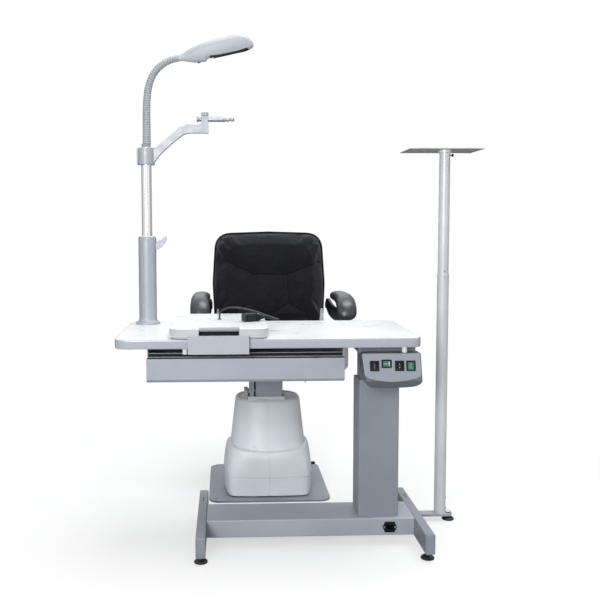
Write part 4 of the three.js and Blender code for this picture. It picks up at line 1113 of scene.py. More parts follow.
def lamp():
    sides = 64
    rings = []
    for s, half, high, low in LAMP_SECTIONS:
        ring = []
        for i in range(sides):
            angle = 2 * math.pi * i / sides
            c, k = math.cos(angle), math.sin(angle)
            bulge = (abs(c) ** 2.6 + abs(k) ** 2.6) ** (-1 / 2.6)
            upright = (high - low) / 2
            ring.append(Vector((s, half * bulge * c, (high + low) / 2 + upright * bulge * k)) * MM)
        rings.append(ring)
    body = skin(rings)
    creased = [e for e in body.edges if len(e.link_faces) == 2 and e.calc_face_angle(0.0) > math.radians(70)]
    bmesh.ops.bevel(
        body, geom=creased, offset=0.0012, segments=2, profile=0.5, affect="EDGES", clamp_overlap=True,
    )
    tray = prism_shape([tuple(p) for p in lamp_outline(0)], -0.040, 0.014, edge=0.0)
    button = lathe_shape(
        [(0, -0.040), (0.006, -0.040), (0.006, -0.008), (0, -0.008)], (0.062, 0, 0), steps=32, rounding=0.0,
    )
    shell = carve(body, tray, button)
    shell.transform(LAMP)
    instead(piece("lamp_shell_skin", shell, "lamp", "lamp_plastic", 42.0), "lamp_shell")
    inner = [tuple(p) for p in lamp_outline(0.6)]
    lens = skin([[Vector((p[0], p[1], z)) for p in inner] for z in (0.0, 0.003)])
    soften(lens, 0.0005)
    lens.transform(LAMP)
    instead(piece("lamp_lens_skin", lens, "lamp", "diffuser"), "lamp_lens")
    # A black wall round the lens pocket: painted shade, darkening the lamp's underside where shade falls.
    outer, within = lamp_outline(0.3), lamp_outline(1.7)
    rows = [
        [Vector((p.x, p.y, rim_height(p.x) + 0.0009)) for p in outer],
        [Vector((p.x, p.y, -0.0002)) for p in outer],
        [Vector((p.x, p.y, -0.0002)) for p in within],
        [Vector((p.x, p.y, rim_height(p.x) + 0.0009)) for p in within],
    ]
    cavity_shade_shape = skin(rows, closed=True, caps=False)
    cavity_shade_shape.transform(LAMP)
    piece("lamp_cavity_shade", cavity_shade_shape, "lamp", "black_plastic")
    for i in range(11):
        y = (-22 + 4.4 * i) * MM
        reach = 0.128 if abs(y) < 0.016 else 0.122
        outline = [
            (0.112, y - 0.0008), (0.112 + reach, y - 0.0008), (0.112 + reach, y + 0.0008), (0.112, y + 0.0008),
        ]
        prism(f"lens_rib_{i:02d}", "lamp", "diffuser", outline, -0.0016, 0.0001, edge=0.0004, place=LAMP)
    hook = [(0.0925, -0.0272), (0.104, -0.0282), (0.118, -0.0284, 0.002), (0.118, -0.0250), (0.0925, -0.0245)]
    prism("lens_catch", "lamp", "white_plastic", hook, -0.0315, -0.0295, plane="XZ", edge=0.0005, place=LAMP)
    knob = [
        (0, -0.0322), (0.0045, -0.0320, 0.0008), (0.0053, -0.0312, 0.0006), (0.0053, -0.0132), (0, -0.0132),
    ]
    switch_shape = lathe_shape(knob, (0.062, 0, 0), steps=40, rounding=0.0)
    switch_shape.transform(LAMP)
    instead(piece("lamp_switch_skin", switch_shape, "lamp_button", "black_plastic"), "lamp_switch")


# ---- projector stand ----

STAND = TABLE + Vector((0.5195, 0.150, 0.0))


def projector_stand():
    refined("stand_outrigger", "paint", 0.0012, 3)
    levelling_foot("stand_levelling_foot", "foot_stand")
    foot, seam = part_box("stand_lower_tube")[0].z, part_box("stand_lower_tube")[1].z
    low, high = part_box("stand_upper_tube")
    outer = [
        (0.0203, foot), (0.0215, foot), (0.0215, seam - 0.003, 0.0004), (0.0219, seam - 0.0026, 0.0003),
        (0.0219, seam - 0.0008, 0.0006),
        (0.0207, seam, 0.0004), (0.0203, seam),
    ]
    made = lathe(
        "stand_lower_tube_skin", "base", "stand_paint", outer, STAND, steps=80, closed=True, rounding=0.0,
    )
    instead(made, "stand_lower_tube")
    inner = [(0.0178, low.z), (0.020, low.z, 0.0005), (0.020, high.z, 0.0008), (0.0178, high.z)]
    made = lathe(
        "stand_upper_tube_skin", "stand_top", "stand_paint", inner, STAND, steps=80, closed=True, rounding=0.0,
    )
    instead(made, "stand_upper_tube")
    weld = [(0.0216, foot), (0.0262, foot, 0.0004), (0.0232, foot + 0.0022, 0.0015), (0.0216, foot + 0.005)]
    lathe("stand_weld", "base", "paint", weld, STAND, steps=64, closed=True, rounding=0.0)
    for i, z in enumerate((0.045, 0.085)):
        socket_screw(
            f"stand_base_screw_{i}", "base", STAND + Vector((0.0214, 0, z)), RIGHT, 0.0034, "black_plastic",
        )
    socket_screw(
        "stand_stop_screw", "stand_top", STAND + Vector((0, -0.0199, 0.953)), FORWARD, 0.0024, "black_plastic",
    )
    socket_screw("stand_lock_screw", "base", STAND + Vector((0, -0.0214, 0.929)), FORWARD, 0.0026)
    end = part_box("stand_outrigger")[1]
    cap = [
        (0, 0.0042), (0.0064, 0.0040, 0.001), (0.0098, 0.0026, 0.001), (0.0108, 0.0, 0.0004),
        (0.0108, -0.0008), (0, -0.0008),
    ]
    lathe(
        "outrigger_cap", "foot_stand", "stand_paint", cap, (STAND.x + 0.032, STAND.y, end.z + 0.005),
        steps=48, rounding=0.0,
    )
    shelf()


def shelf():
    refined("projector_shelf", "shelf_paint", 0.0008)
    low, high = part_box("projector_shelf")
    top, under = high.z, high.z - 0.003
    collar = [(0.0201, 0.0), (0.0240, 0.0, 0.0005), (0.0240, -0.012, 0.0010), (0.0201, -0.012)]
    lathe(
        "shelf_collar", "shelf", "stand_paint", collar, (STAND.x, STAND.y, under), steps=64, closed=True,
        rounding=0.0,
    )
    for i, (dx, dy) in enumerate(((-0.011, -0.011), (0.011, -0.011), (0.011, 0.011), (-0.011, 0.011))):
        socket_screw(f"shelf_screw_{i}", "shelf", (STAND.x + dx, STAND.y + dy, top), UP, 0.0030)
    for name, y in (("front", low.y + 0.004), ("rear", high.y - 0.004)):
        outline = rounded_box(low.x + 0.02, high.x - 0.02, y - 0.0016, y + 0.0016, 0.0015)
        prism("shelf_pad_" + name, "shelf", "rubber", outline, top - 0.0004, top + 0.0006, edge=0.0003)
    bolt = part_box("shelf_screw")
    middle = STAND + Vector((0, 0, (bolt[0].z + bolt[1].z) / 2))
    profile = [
        (0, 0.0204), (0.0025, 0.0204), (0.0025, 0.0253), (0.0040, 0.0258, 0.0004), (0.0056, 0.0272, 0.0005),
        (0.0056, 0.0318, 0.0008),
        (0.0030, 0.0326, 0.0006), (0, 0.0326),
    ]
    knob = lathe(
        "shelf_screw_skin", "shelf_clamp", "black_plastic", profile, middle, RIGHT, steps=40, rounding=0.0,
        knurl=0.0055, depth=0.07,
    )
    instead(knob, "shelf_screw")


# ---- patient chair ----


def squircle(angle, half_x, half_y, power):
    c, s = math.cos(angle), math.sin(angle)
    bulge = (abs(c) ** power + abs(s) ** power) ** (-1 / power)
    return half_x * bulge * c, half_y * bulge * s


def cover_ring(angles, half_x, half_y, z, y0):
    """One level of a cover's plain inner wall, in millimetres but for its middle."""
    middle = Vector((0, y0, 0))
    return [Vector((*squircle(a, half_x * MM, half_y * MM, 2.7), z * MM)) + middle for a in angles]


def seam_angles(sides):
    """Angles round a cover, with extra ones beside its front and back seams."""
    angles = [2 * math.pi * i / sides for i in range(sides)]
    for side in (math.pi / 2, 3 * math.pi / 2):
        angles = [a for a in angles if abs(a - side) > 0.025]
        for offset in (-0.020, -0.0108, -0.0080, 0.0, 0.0080, 0.0108, 0.020):
            angles.append(side + offset)
    return sorted(angles)


def seam_depth(angle, deep=0.0030):
    near = min(abs(angle - math.pi / 2), abs(angle - 3 * math.pi / 2))
    return deep if near < 0.0095 else 0.0


def upper_cover():
    y0 = -0.032
    levels = [
        (163.4, 155.4, 126), (162.6, 154.4, 148), (161.3, 152.4, 170), (159.6, 149.8, 195),
        (156.7, 144.8, 220), (152.0, 136.8, 260),
        (147.4, 129.0, 300), (142.8, 121.2, 340), (139.4, 115.4, 370), (138.2, 113.4, 381),
        (137.4, 112.2, 386), (135.6, 110.4, 390.5), (132.6, 107.4, 394.5),
        (128.8, 103.8, 397), (124.5, 99.6, 398), (121.0, 96.2, 397.2), (118.8, 94.0, 395),
        (117.6, 92.8, 392.6),
    ]
    angles = seam_angles(112)
    rows = []
    for half_x, half_y, z in levels:
        row = []
        for angle in angles:
            inset = seam_depth(angle) if z < 391 else 0.0
            px, py = squircle(angle, half_x * MM - inset, half_y * MM - inset, 2.7)
            row.append(Vector((px, py + y0, z * MM)))
        rows.append(row)
    outer = skin(rows)
    inside = ((163, 155, 120), (161, 152, 165), (148.6, 131, 290), (139, 115, 368), (132, 109, 386))
    inner = skin([cover_ring(angles, hx - 4, hy - 4, z, y0) for hx, hy, z in inside])
    opening = prism_shape(rounded_box(-0.0835, 0.0655, -0.1265, 0.0325, 0.006), 0.36, 0.42, edge=0.0)
    shape = carve(outer, inner, opening)
    instead(piece("chair_upper_cover_skin", shape, "base", "cover_plastic", 40.0), "chair_upper_cover")
    outer_rim = rounded_box(-0.0870, 0.0690, -0.1298, 0.0360, 0.0085)
    inner_rim = rounded_box(-0.0838, 0.0658, -0.1266, 0.0328, 0.0055)
    piece(
        "column_trim", ring_shape(outer_rim, inner_rim, 0.3905, 0.4105, edge=0.001), "base", "white_plastic",
    )
    for i, (x, z, reach) in enumerate(((-0.0565, 0.3690, 0.1160), (-0.0610, 0.2099, 0.1468))):
        clip = []
        front = -0.032 - reach
        for t in range(20):
            angle = 2 * math.pi * t / 20
            px, pz = squircle(angle, 0.0072, 0.0040, 2.6)
            clip.append((px + x, pz + z))
        there, back = Matrix.Translation((0, front, z)), Matrix.Translation((0, -front, -z))
        lean = there @ Matrix.Rotation(-0.19, 4, "X") @ back
        ring = []
        for t in range(20):
            angle = 2 * math.pi * t / 20
            px, pz = squircle(angle, 0.0060, 0.0028, 2.6)
            ring.append((px + x, pz + z))
        piece(
            f"cover_clip_{i}",
            ring_shape(clip, ring, front - 0.0020, front + 0.004, plane="XZ", edge=0.0003, place=lean),
            "base", "cover_plastic",
        )
        prism(
            f"cover_clip_face_{i}", "base", "cover_plastic", ring, front + 0.0004, front + 0.004, plane="XZ",
            edge=0.0002, place=lean,
        )


def lower_cover():
    y0 = -0.007
    levels = [
        (184.8, 197.8, 12.2), (186.0, 199.0, 13.4), (186.4, 200.2, 40), (186.0, 200.8, 84),
        (185.2, 200.2, 86.8), (182.4, 197.6, 88.0),
        (182.2, 197.4, 90.6), (186.8, 202.6, 91.8), (188.2, 204.2, 93.2), (188.2, 204.4, 97),
        (186.8, 204.0, 120), (183.4, 203.4, 150),
        (181.0, 203.0, 166), (178.4, 201.8, 175), (174.4, 199.8, 183), (169.6, 197.8, 188.4),
        (165.0, 195.8, 191),
    ]
    angles = seam_angles(200)
    rows = []
    for half_x, half_y, z in levels:
        row = []
        for angle in angles:
            power = 14.0 - 8.0 * max(0.0, min(1.0, (z - 110) / 60))
            inset = seam_depth(angle) if z < 190 else 0.0
            px, py = squircle(angle, half_x * MM - inset, half_y * MM - inset, power)
            px *= 1 - 0.125 * (py / 0.204) ** 2
            py *= 1 + 0.03 * max(0.0, 1 - (px / 0.165) ** 2) if py < 0 else 1.0
            bow = 0.003 * (1 - (px / 0.17) ** 2) if 83 < z < 97 else 0.0
            crown = max(0.0, (z - 166) / 25) * 0.016 * abs(math.cos(angle)) ** 1.5
            drop = max(0.0, (z - 110) / 81) * 0.046 * max(0.0, math.sin(angle)) ** 0.8
            lift = crown - drop
            row.append(Vector((px, py + y0, z * MM + lift - max(0.0, bow))))
        rows.append(row)
    outer = skin(rows)
    inner_rows = []
    for half_x, half_y, z in ((187, 200, 8), (187, 202, 84), (182, 203, 150), (166, 197, 183)):
        row = []
        for angle in angles:
            px, py = squircle(angle, (half_x - 9) * MM, (half_y - 9) * MM, 6.5)
            px *= 1 - 0.125 * (py / 0.204) ** 2
            drop = max(0.0, (z - 110) / 81) * 0.046 * max(0.0, math.sin(angle)) ** 0.8
            lift = (0.012 * abs(math.cos(angle)) ** 1.5 if z > 170 else 0.0) - drop
            row.append(Vector((px, py + y0, z * MM + lift)))
        inner_rows.append(row)
    room = (
        (163.6, 155.6, 112), (162.6, 154.6, 140), (161.3, 152.4, 170), (159.6, 149.8, 195),
        (152.0, 136.8, 260),
    )
    upper_room = skin([cover_ring(angles, hx + 0.6, hy + 0.6, z, -0.032) for hx, hy, z in room])
    slot = prism_shape(box_outline(0.150, 0.205, 0.040, 0.080), 0.050, 0.084, edge=0.0)
    shape = carve(outer, skin(inner_rows), upper_room, slot)
    instead(piece("chair_lower_cover_skin", shape, "base", "cover_plastic", 40.0), "chair_lower_cover")


def chair_base():
    # The base plate takes the darker copy of the paint: painted shade under the seat.
    refined("chair_base_plate", "dark_paint_and_painted_shade", 0.0018, 3)
    refined("chair_mast", "steel", 0.001)
    refined("chair_column", "paint", 0.0009)
    upper_cover()
    lower_cover()
    low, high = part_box("chair_pedal")
    y, z = (low.y + high.y) / 2, (low.z + high.z) / 2
    stem, _ = path_through([(0.158, y, z), (0.176, y, z), (0.202, y, z)], 12)
    stalk = sweep_shape(stem, [0.0042] * 12, 20, squash=0.75)
    pad = lathe_shape(
        [
            (0, -0.006), (0.0068, -0.0052, 0.002), (0.0105, -0.0018, 0.002), (0.0108, 0.0012, 0.002),
            (0.0082, 0.0048, 0.003), (0, 0.0060),
        ],
        (0.209, y, z), steps=48, rounding=0.0,
    )
    instead(
        piece("chair_pedal_skin", carve(stalk, pad, operation="UNION"), "pedal", "black_plastic", 50.0),
        "chair_pedal",
    )
    route = [
        (-0.0795, -0.0900, 0.4370), (-0.0880, -0.0925, 0.4365), (-0.0940, -0.1050, 0.4340),
        (-0.0955, -0.1220, 0.4305),
        (-0.0915, -0.1292, 0.4292), (-0.0740, -0.1296, 0.4328), (-0.0550, -0.1297, 0.4368),
    ]
    line, _ = path_through(route, 60)
    handle = sweep_shape(line, [0.0021] * 60, 16)
    instead(piece("chair_lever_skin", handle, "lift_lever", "stand_paint", 60.0), "chair_lever")
    grip = rounded_box(-0.1015, -0.0850, 0.4300, 0.4430, 0.003)
    prism("lever_grip", "lift_lever", "dark_paint_and_painted_shade", grip, -0.1010, -0.0800, plane="XZ", edge=0.0016)


def puffed(shape, voxel, pressure, cap, hold, frames=20):
    """Swells a closed shape like stuffed upholstery: cloth under pressure, held where hold(point) says."""
    holder_mesh = bpy.data.meshes.new("puff")
    bmesh.ops.recalc_face_normals(shape, faces=shape.faces)
    shape.to_mesh(holder_mesh)
    shape.free()
    holder = bpy.data.objects.new("puff", holder_mesh)
    bpy.context.scene.collection.objects.link(holder)
    remesh = holder.modifiers.new("remesh", "REMESH")
    remesh.mode, remesh.voxel_size, remesh.use_smooth_shade = "VOXEL", voxel, True
    graph = bpy.context.evaluated_depsgraph_get()
    even = bpy.data.meshes.new_from_object(holder.evaluated_get(graph), depsgraph=graph)
    holder.modifiers.clear()
    holder.data = even
    start = [v.co.copy() for v in even.vertices]
    pins = holder.vertex_groups.new(name="pins")
    for v in even.vertices:
        weight = hold(v.co)
        if weight > 0:
            pins.add([v.index], weight, "REPLACE")
    cloth = holder.modifiers.new("cloth", "CLOTH")
    settings = cloth.settings
    settings.quality = 5
    settings.mass = 0.3
    settings.tension_stiffness = settings.compression_stiffness = 12.0
    settings.shear_stiffness = 6.0
    settings.bending_stiffness = 0.8
    settings.use_pressure = True
    settings.uniform_pressure_force = pressure
    settings.vertex_group_mass = "pins"
    settings.effector_weights.gravity = 0.0
    cloth.collision_settings.use_collision = False
    cloth.collision_settings.use_self_collision = False
    cloth.point_cache.frame_start, cloth.point_cache.frame_end = 1, frames
    for number in range(1, frames + 1):
        bpy.context.scene.frame_set(number)
    graph = bpy.context.evaluated_depsgraph_get()
    moved = holder.evaluated_get(graph).data
    for v, now, was in zip(even.vertices, [w.co.copy() for w in moved.vertices], start):
        step = now - was
        v.co = was + step * min(1.0, cap / max(step.length, 1e-9))
    holder.modifiers.clear()
    bpy.context.scene.frame_set(1)
    smooth = bmesh.new()
    smooth.from_mesh(holder.data)
    for _ in range(3):
        bmesh.ops.smooth_vert(
            smooth, verts=smooth.verts, factor=0.5, use_axis_x=True, use_axis_y=True, use_axis_z=True,
        )
    bmesh.ops.subdivide_edges(smooth, edges=smooth.edges, cuts=1, use_grid_fill=True, smooth=0.6)
    bpy.data.objects.remove(holder)
    return smooth


def to_segment(p, a, b):
    """Distance of a 2-D point from the segment a-b."""
    line = b - a
    t = max(0.0, min(1.0, (p - a).dot(line) / max(line.length_squared, 1e-12)))
    return (p - a - line * t).length


def sewn(shape, seams, flat, towards, broad=0.011, broad_width=0.03, crease=0.0042, crease_width=0.0032):
    """Pulls the sewn lines in: a broad valley with a narrow crease.

    flat(p) gives a point's place on the seams' plane, and how far it faces them."""
    segments = [(Vector(a), Vector(b)) for a, b in seams]
    for v in shape.verts:
        place, share = flat(v)
        if share <= 0:
            continue
        near = min(to_segment(place, a, b) for a, b in segments)
        valley = broad * math.exp(-((near / broad_width) ** 2))
        depth = valley + crease * math.exp(-((near / crease_width) ** 2))
        v.co += towards * (depth * share)


def wrinkled(shape, size, depth, seed):
    shape.normal_update()
    for v in shape.verts:
        v.co += v.normal * (noise.noise(v.co / size + Vector((seed, 0, 0))) * depth)


SEAT_X = 0.019
BACK_Y, BACK_Z, BACK_LEAN = 0.176, 0.662, 0.105


def backrest_outline(inset):
    half, tall = 0.2615 - inset, 0.4465
    low = inset
    return [
        (-half + 0.010, low, 0.055), (half - 0.010, low, 0.055), (half, tall * 0.46, 0.40),
        (half - 0.013, tall - inset - 0.008, 0.078),
        (0.0, tall - inset, 0.9), (-half + 0.013, tall - inset - 0.008, 0.078), (-half, tall * 0.46, 0.40),
    ]


def backrest():
    place = Matrix.Translation((SEAT_X + 0.0035, BACK_Y, BACK_Z)) @ Matrix.Rotation(-BACK_LEAN, 4, "X")
    thick = 0.066
    rows = []
    for share, inset in (
        (0.0, 0.020), (0.10, 0.011), (0.28, 0.006), (0.55, 0.004), (0.78, 0.007), (0.92, 0.015), (1.0, 0.026),
    ):
        line = fillet(backrest_outline(inset), steps=10)
        y = min(0.060, thick * (1 - share) + 0.004 - 0.008 * share)
        rows.append([Vector((p.x, 0.006 + y * 0.86, p.y)) for p in line])
    pad = puffed(skin(rows), 0.0055, 4.0, 0.022, lambda p: 1.0 if p.y > 0.055 else 0.0)
    for v in pad.verts:
        middle = max(0.0, 1 - (v.co.x / 0.25) ** 2) * max(0.0, 1 - ((v.co.z - 0.2) / 0.26) ** 2)
        if v.co.y < 0.04:
            v.co.y -= 0.006 * middle
    left, right, low_left, low_right = (-0.078, 0.243), (0.081, 0.2395), (-0.0935, 0.108), (0.0887, 0.111)
    seams = [
        (left, right), (left, (-0.205, 0.310)), (right, (0.238, 0.302)),
        (left, (-0.0865, 0.172)), ((-0.0865, 0.172), low_left), (right, (0.0820, 0.177)),
        ((0.0820, 0.177), low_right),
        (low_left, (-0.020, 0.061)), (low_right, (0.0155, 0.064)), ((-0.020, 0.061), (0.0155, 0.064)),
        (low_left, (-0.160, 0.066)), (low_right, (0.153, 0.070)),
    ]
    pad.normal_update()

    def front(v):
        share = max(0.0, min(1.0, (0.045 - v.co.y) / 0.03))
        return Vector((v.co.x, v.co.z)), share

    sewn(pad, seams, front, Vector((0, 1, 0)), 0.011, 0.034, 0.0055, 0.0034)
    for node in (left, right, low_left, low_right):
        here = Vector(node)
        for v in pad.verts:
            if v.co.y < 0.045:
                near = (Vector((v.co.x, v.co.z)) - here).length
                v.co.y += 0.006 * math.exp(-((near / 0.016) ** 2))
    wrinkled(pad, 0.035, 0.0016, 3.0)
    pad.transform(place)
    instead(piece("backrest_pad", pad, "seat", "fabric", 80.0, weighted=False), "backrest")
    welt = [Vector((p.x, 0.0545, p.y)) for p in fillet(backrest_outline(0.0045), steps=12)]
    dense = []
    for a, b in zip(welt, welt[1:] + welt[:1]):
        cuts = max(1, int((b - a).length / 0.012))
        dense += [a.lerp(b, s / cuts) for s in range(cuts)]
    shape = closed_tube(dense, 0.0036, 10)
    shape.transform(place)
    piece("backrest_welt", shape, "seat", "fabric", 60.0, weighted=False)
    shell = prism_shape(
        [tuple(p) for p in fillet(backrest_outline(0.007), steps=10)], 0.0525, 0.0680, plane="XZ",
        edge=0.0035, segments=3,
    )
    shell.transform(place)
    piece("backrest_shell", shell, "seat", "black_plastic")


def closed_tube(line, radius, sides):
    """A cord round a closed line."""
    count = len(line)
    rings = []
    for i, point in enumerate(line):
        tangent = (line[(i + 1) % count] - line[i - 1]).normalized()
        side = Vector((0, 1, 0))
        other = tangent.cross(side).normalized()
        rings.append([
            point + side * (radius * math.cos(2 * math.pi * s / sides)) + other * (
                radius * math.sin(2 * math.pi * s / sides)
            )
            for s in range(sides)
        ])
    return skin(rings, closed=True, caps=False)


def seat_cushion():
    low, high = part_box("seat_cushion")
    centre_x, centre_y = (low.x + high.x) / 2, (low.y + high.y) / 2
    half_x, half_y = (high.x - low.x) / 2, (high.y - low.y) / 2
    rows = []
    for z, inset in ((0.0, 0.020), (0.12, 0.014), (0.4, 0.012), (0.65, 0.014), (0.82, 0.024), (0.9, 0.045)):
        line = []
        for i in range(64):
            px, py = squircle(2 * math.pi * i / 64, half_x - inset, half_y - inset, 4.5)
            droop = 0.016 * max(0.0, (-py - half_y * 0.55) / half_y) if z > 0.5 else 0.0
            line.append(
                Vector((px + centre_x, py + centre_y, low.z + 0.001 + (high.z - low.z - 0.012) * z - droop))
            )
        rows.append(line)
    pad = puffed(skin(rows), 0.006, 4.0, 0.024, lambda p: 1.0 if p.z < low.z + 0.012 else 0.0)
    across = 0.105
    seams = [
        ((-across, centre_y - 0.09), (across, centre_y - 0.09)),
        ((-across, centre_y + 0.10), (across, centre_y + 0.10)),
        ((-across, centre_y - 0.09), (-across * 1.12, centre_y + 0.005)),
        ((-across * 1.12, centre_y + 0.005), (-across, centre_y + 0.10)),
        ((across, centre_y - 0.09), (across * 1.12, centre_y + 0.005)),
        ((across * 1.12, centre_y + 0.005), (across, centre_y + 0.10)),
        ((-across, centre_y - 0.09), (-0.19, centre_y - 0.17)),
        ((across, centre_y - 0.09), (0.19, centre_y - 0.17)),
        ((-across, centre_y + 0.10), (-0.19, centre_y + 0.17)),
        ((across, centre_y + 0.10), (0.19, centre_y + 0.17)),
    ]

    def upper(v):
        return Vector((v.co.x - centre_x, v.co.y)), max(0.0, min(1.0, (v.co.z - low.z - 0.055) / 0.02))

    sewn(pad, seams, upper, Vector((0, 0, -1)), 0.010, 0.034, 0.0035, 0.0034)
    for v in pad.verts:
        v.co.z = max(v.co.z, low.z + 0.0003)
    wrinkled(pad, 0.04, 0.0016, 9.0)
    for v in pad.verts:
        v.co.z = max(v.co.z, low.z + 0.0003)
    level = low.z + 0.020
    reach = [0.0] * 120
    for v in pad.verts:
        if abs(v.co.z - level) < 0.009:
            k = int(
                120 * (math.atan2(v.co.y - centre_y, v.co.x - centre_x) % (2 * math.pi)) / (2 * math.pi)
            ) % 120
            reach[k] = max(reach[k], math.hypot(v.co.x - centre_x, v.co.y - centre_y))
    instead(piece("seat_cushion_pad", pad, "seat", "fabric", 80.0, weighted=False), "seat_cushion")
    line = []
    for i in range(120):
        r = (max(reach[i - 1], reach[i]) + max(reach[i], reach[(i + 1) % 120])) / 2
        angle = 2 * math.pi * (i + 0.5) / 120
        line.append(Vector((centre_x + r * math.cos(angle), centre_y + r * math.sin(angle), level)))
    rings = []
    for i, point in enumerate(line):
        tangent = (line[(i + 1) % 120] - line[i - 1]).normalized()
        other = tangent.cross(UP).normalized()
        rings.append([
            point + UP * (0.0036 * math.cos(2 * math.pi * s / 10)) + other * (
                0.0036 * math.sin(2 * math.pi * s / 10)
            ) for s in range(10)
        ])
    piece("seat_welt", skin(rings, closed=True, caps=False), "seat", "fabric", 60.0, weighted=False)


PAD_LINE = (
    (-196, 740, 0.50), (-195, 748, 0.80), (-190, 764, 0.97), (-180, 781, 1.0), (-162, 796, 1.0),
    (-132, 808, 1.0), (-90, 814.5, 0.99),
    (-40, 816.5, 0.97), (20, 816, 0.95), (70, 815, 0.92), (92, 813.5, 0.84), (102, 812, 0.6),
)
STRAP = (
    (0.269, 176, 772, 14), (0.269, 168, 774, 22), (0.2695, 150, 768, 27), (0.2715, 115, 756, 30),
    (0.2755, 60, 746, 30), (0.280, 0, 743, 29),
    (0.286, -55, 745, 27), (0.292, -105, 752, 24), (0.297, -145, 762, 19), (0.299, -165, 768, 14),
)


def armrest(side, label):
    body = "arm_" + label
    x = SEAT_X + side * 0.301
    half_w, half_t = 0.0405, 0.021
    line = [Vector((x, y * MM, z * MM)) for y, z, _ in PAD_LINE]
    dense, _ = path_through(line, 60)
    sizes = []
    reach = [0.0]
    for a, b in zip(line, line[1:]):
        reach.append(reach[-1] + (b - a).length)
    for i in range(60):
        target = reach[-1] * i / 59
        k = max(j for j in range(len(reach)) if reach[j] <= target + 1e-9)
        k = min(k, len(reach) - 2)
        t = (target - reach[k]) / (reach[k + 1] - reach[k])
        sizes.append(PAD_LINE[k][2] * (1 - t) + PAD_LINE[k + 1][2] * t)
    rings = []
    for i, (point, size) in enumerate(zip(dense, sizes)):
        along = (dense[min(i + 1, 59)] - dense[max(i - 1, 0)]).normalized()
        up = RIGHT.cross(along).normalized()
        ring = []
        for s in range(40):
            px, pz = squircle(2 * math.pi * s / 40, half_w * size, half_t * size, 2.4)
            crown = 0.0035 * (1 - (px / half_w) ** 2) if pz > 0 else 0.0
            ring.append(point + RIGHT * px + up * (pz + crown))
        rings.append(ring)
    first, last = rings[0], rings[-1]
    start = [sum(first, Vector()) / 40 + (dense[0] - dense[1]).normalized() * 0.006]
    finish = [sum(last, Vector()) / 40 + (dense[-1] - dense[-2]).normalized() * 0.005]
    shrunk_first = [start[0].lerp(p, 0.6) for p in first]
    shrunk_last = [finish[0].lerp(p, 0.6) for p in last]
    pad = skin([start, shrunk_first, *rings, shrunk_last, finish])
    wrinkled(pad, 0.03, 0.0009, side * 5.0)
    made = piece(f"armrest_{label}_pad", pad, body, "leather", 80.0, weighted=False)
    instead(made, "armrest_" + label)
    rings = []
    for sx, sy, sz, half in STRAP:
        ring = []
        for k in range(28):
            px, pz = squircle(2 * math.pi * k / 28, 0.0115 * min(1.0, half / 22), half * MM, 3.2)
            ring.append(Vector((SEAT_X + side * sx + px, sy * MM, sz * MM + pz)))
        rings.append(ring)
    piece(f"armrest_{label}_strap", skin(rings), body, "black_plastic", 60.0)
    hinge = Vector((SEAT_X, 0.162, 0.767))
    disc = [(0, 0.2845), (0.0130, 0.2842, 0.001), (0.0155, 0.2825, 0.001), (0.0155, 0.2560), (0, 0.2560)]
    lathe(f"armrest_{label}_boss", body, "black_plastic", disc, hinge, RIGHT * side, steps=48, rounding=0.0)
    for label_part, points, y in (
        ("spike", (
            (0.1700, 0.4935), (0.2620, 0.4935), (0.2700, 0.5050), (0.2680, 0.6200), (0.2436, 0.6900),
            (0.2350, 0.7570),
            (0.2280, 0.7570), (0.2200, 0.6900), (0.2440, 0.6150), (0.2460, 0.5060), (0.1700, 0.5060),
        ), 0.098),
        ("gusset", (
            (0.1700, 0.4935), (0.3280, 0.4935), (0.3400, 0.5100), (0.3400, 0.6600), (0.3190, 0.7520),
            (0.3110, 0.7520), (0.2920, 0.6200), (0.2840, 0.5060), (0.1700, 0.5060),
        ), 0.020),
    ):
        outline = [(SEAT_X + side * px, pz, 0.003) for px, pz in points]
        prism(
            f"armrest_{label}_{label_part}", "seat", "stand_paint", outline, y, y + 0.003, plane="XZ",
            edge=0.0008,
        )


def chair_seat():
    refined("seat_pan", "steel", 0.0012)
    seat_cushion()
    backrest()
    for side, label in ((-1, "left"), (1, "right")):
        armrest(side, label)


# ---- stage ----


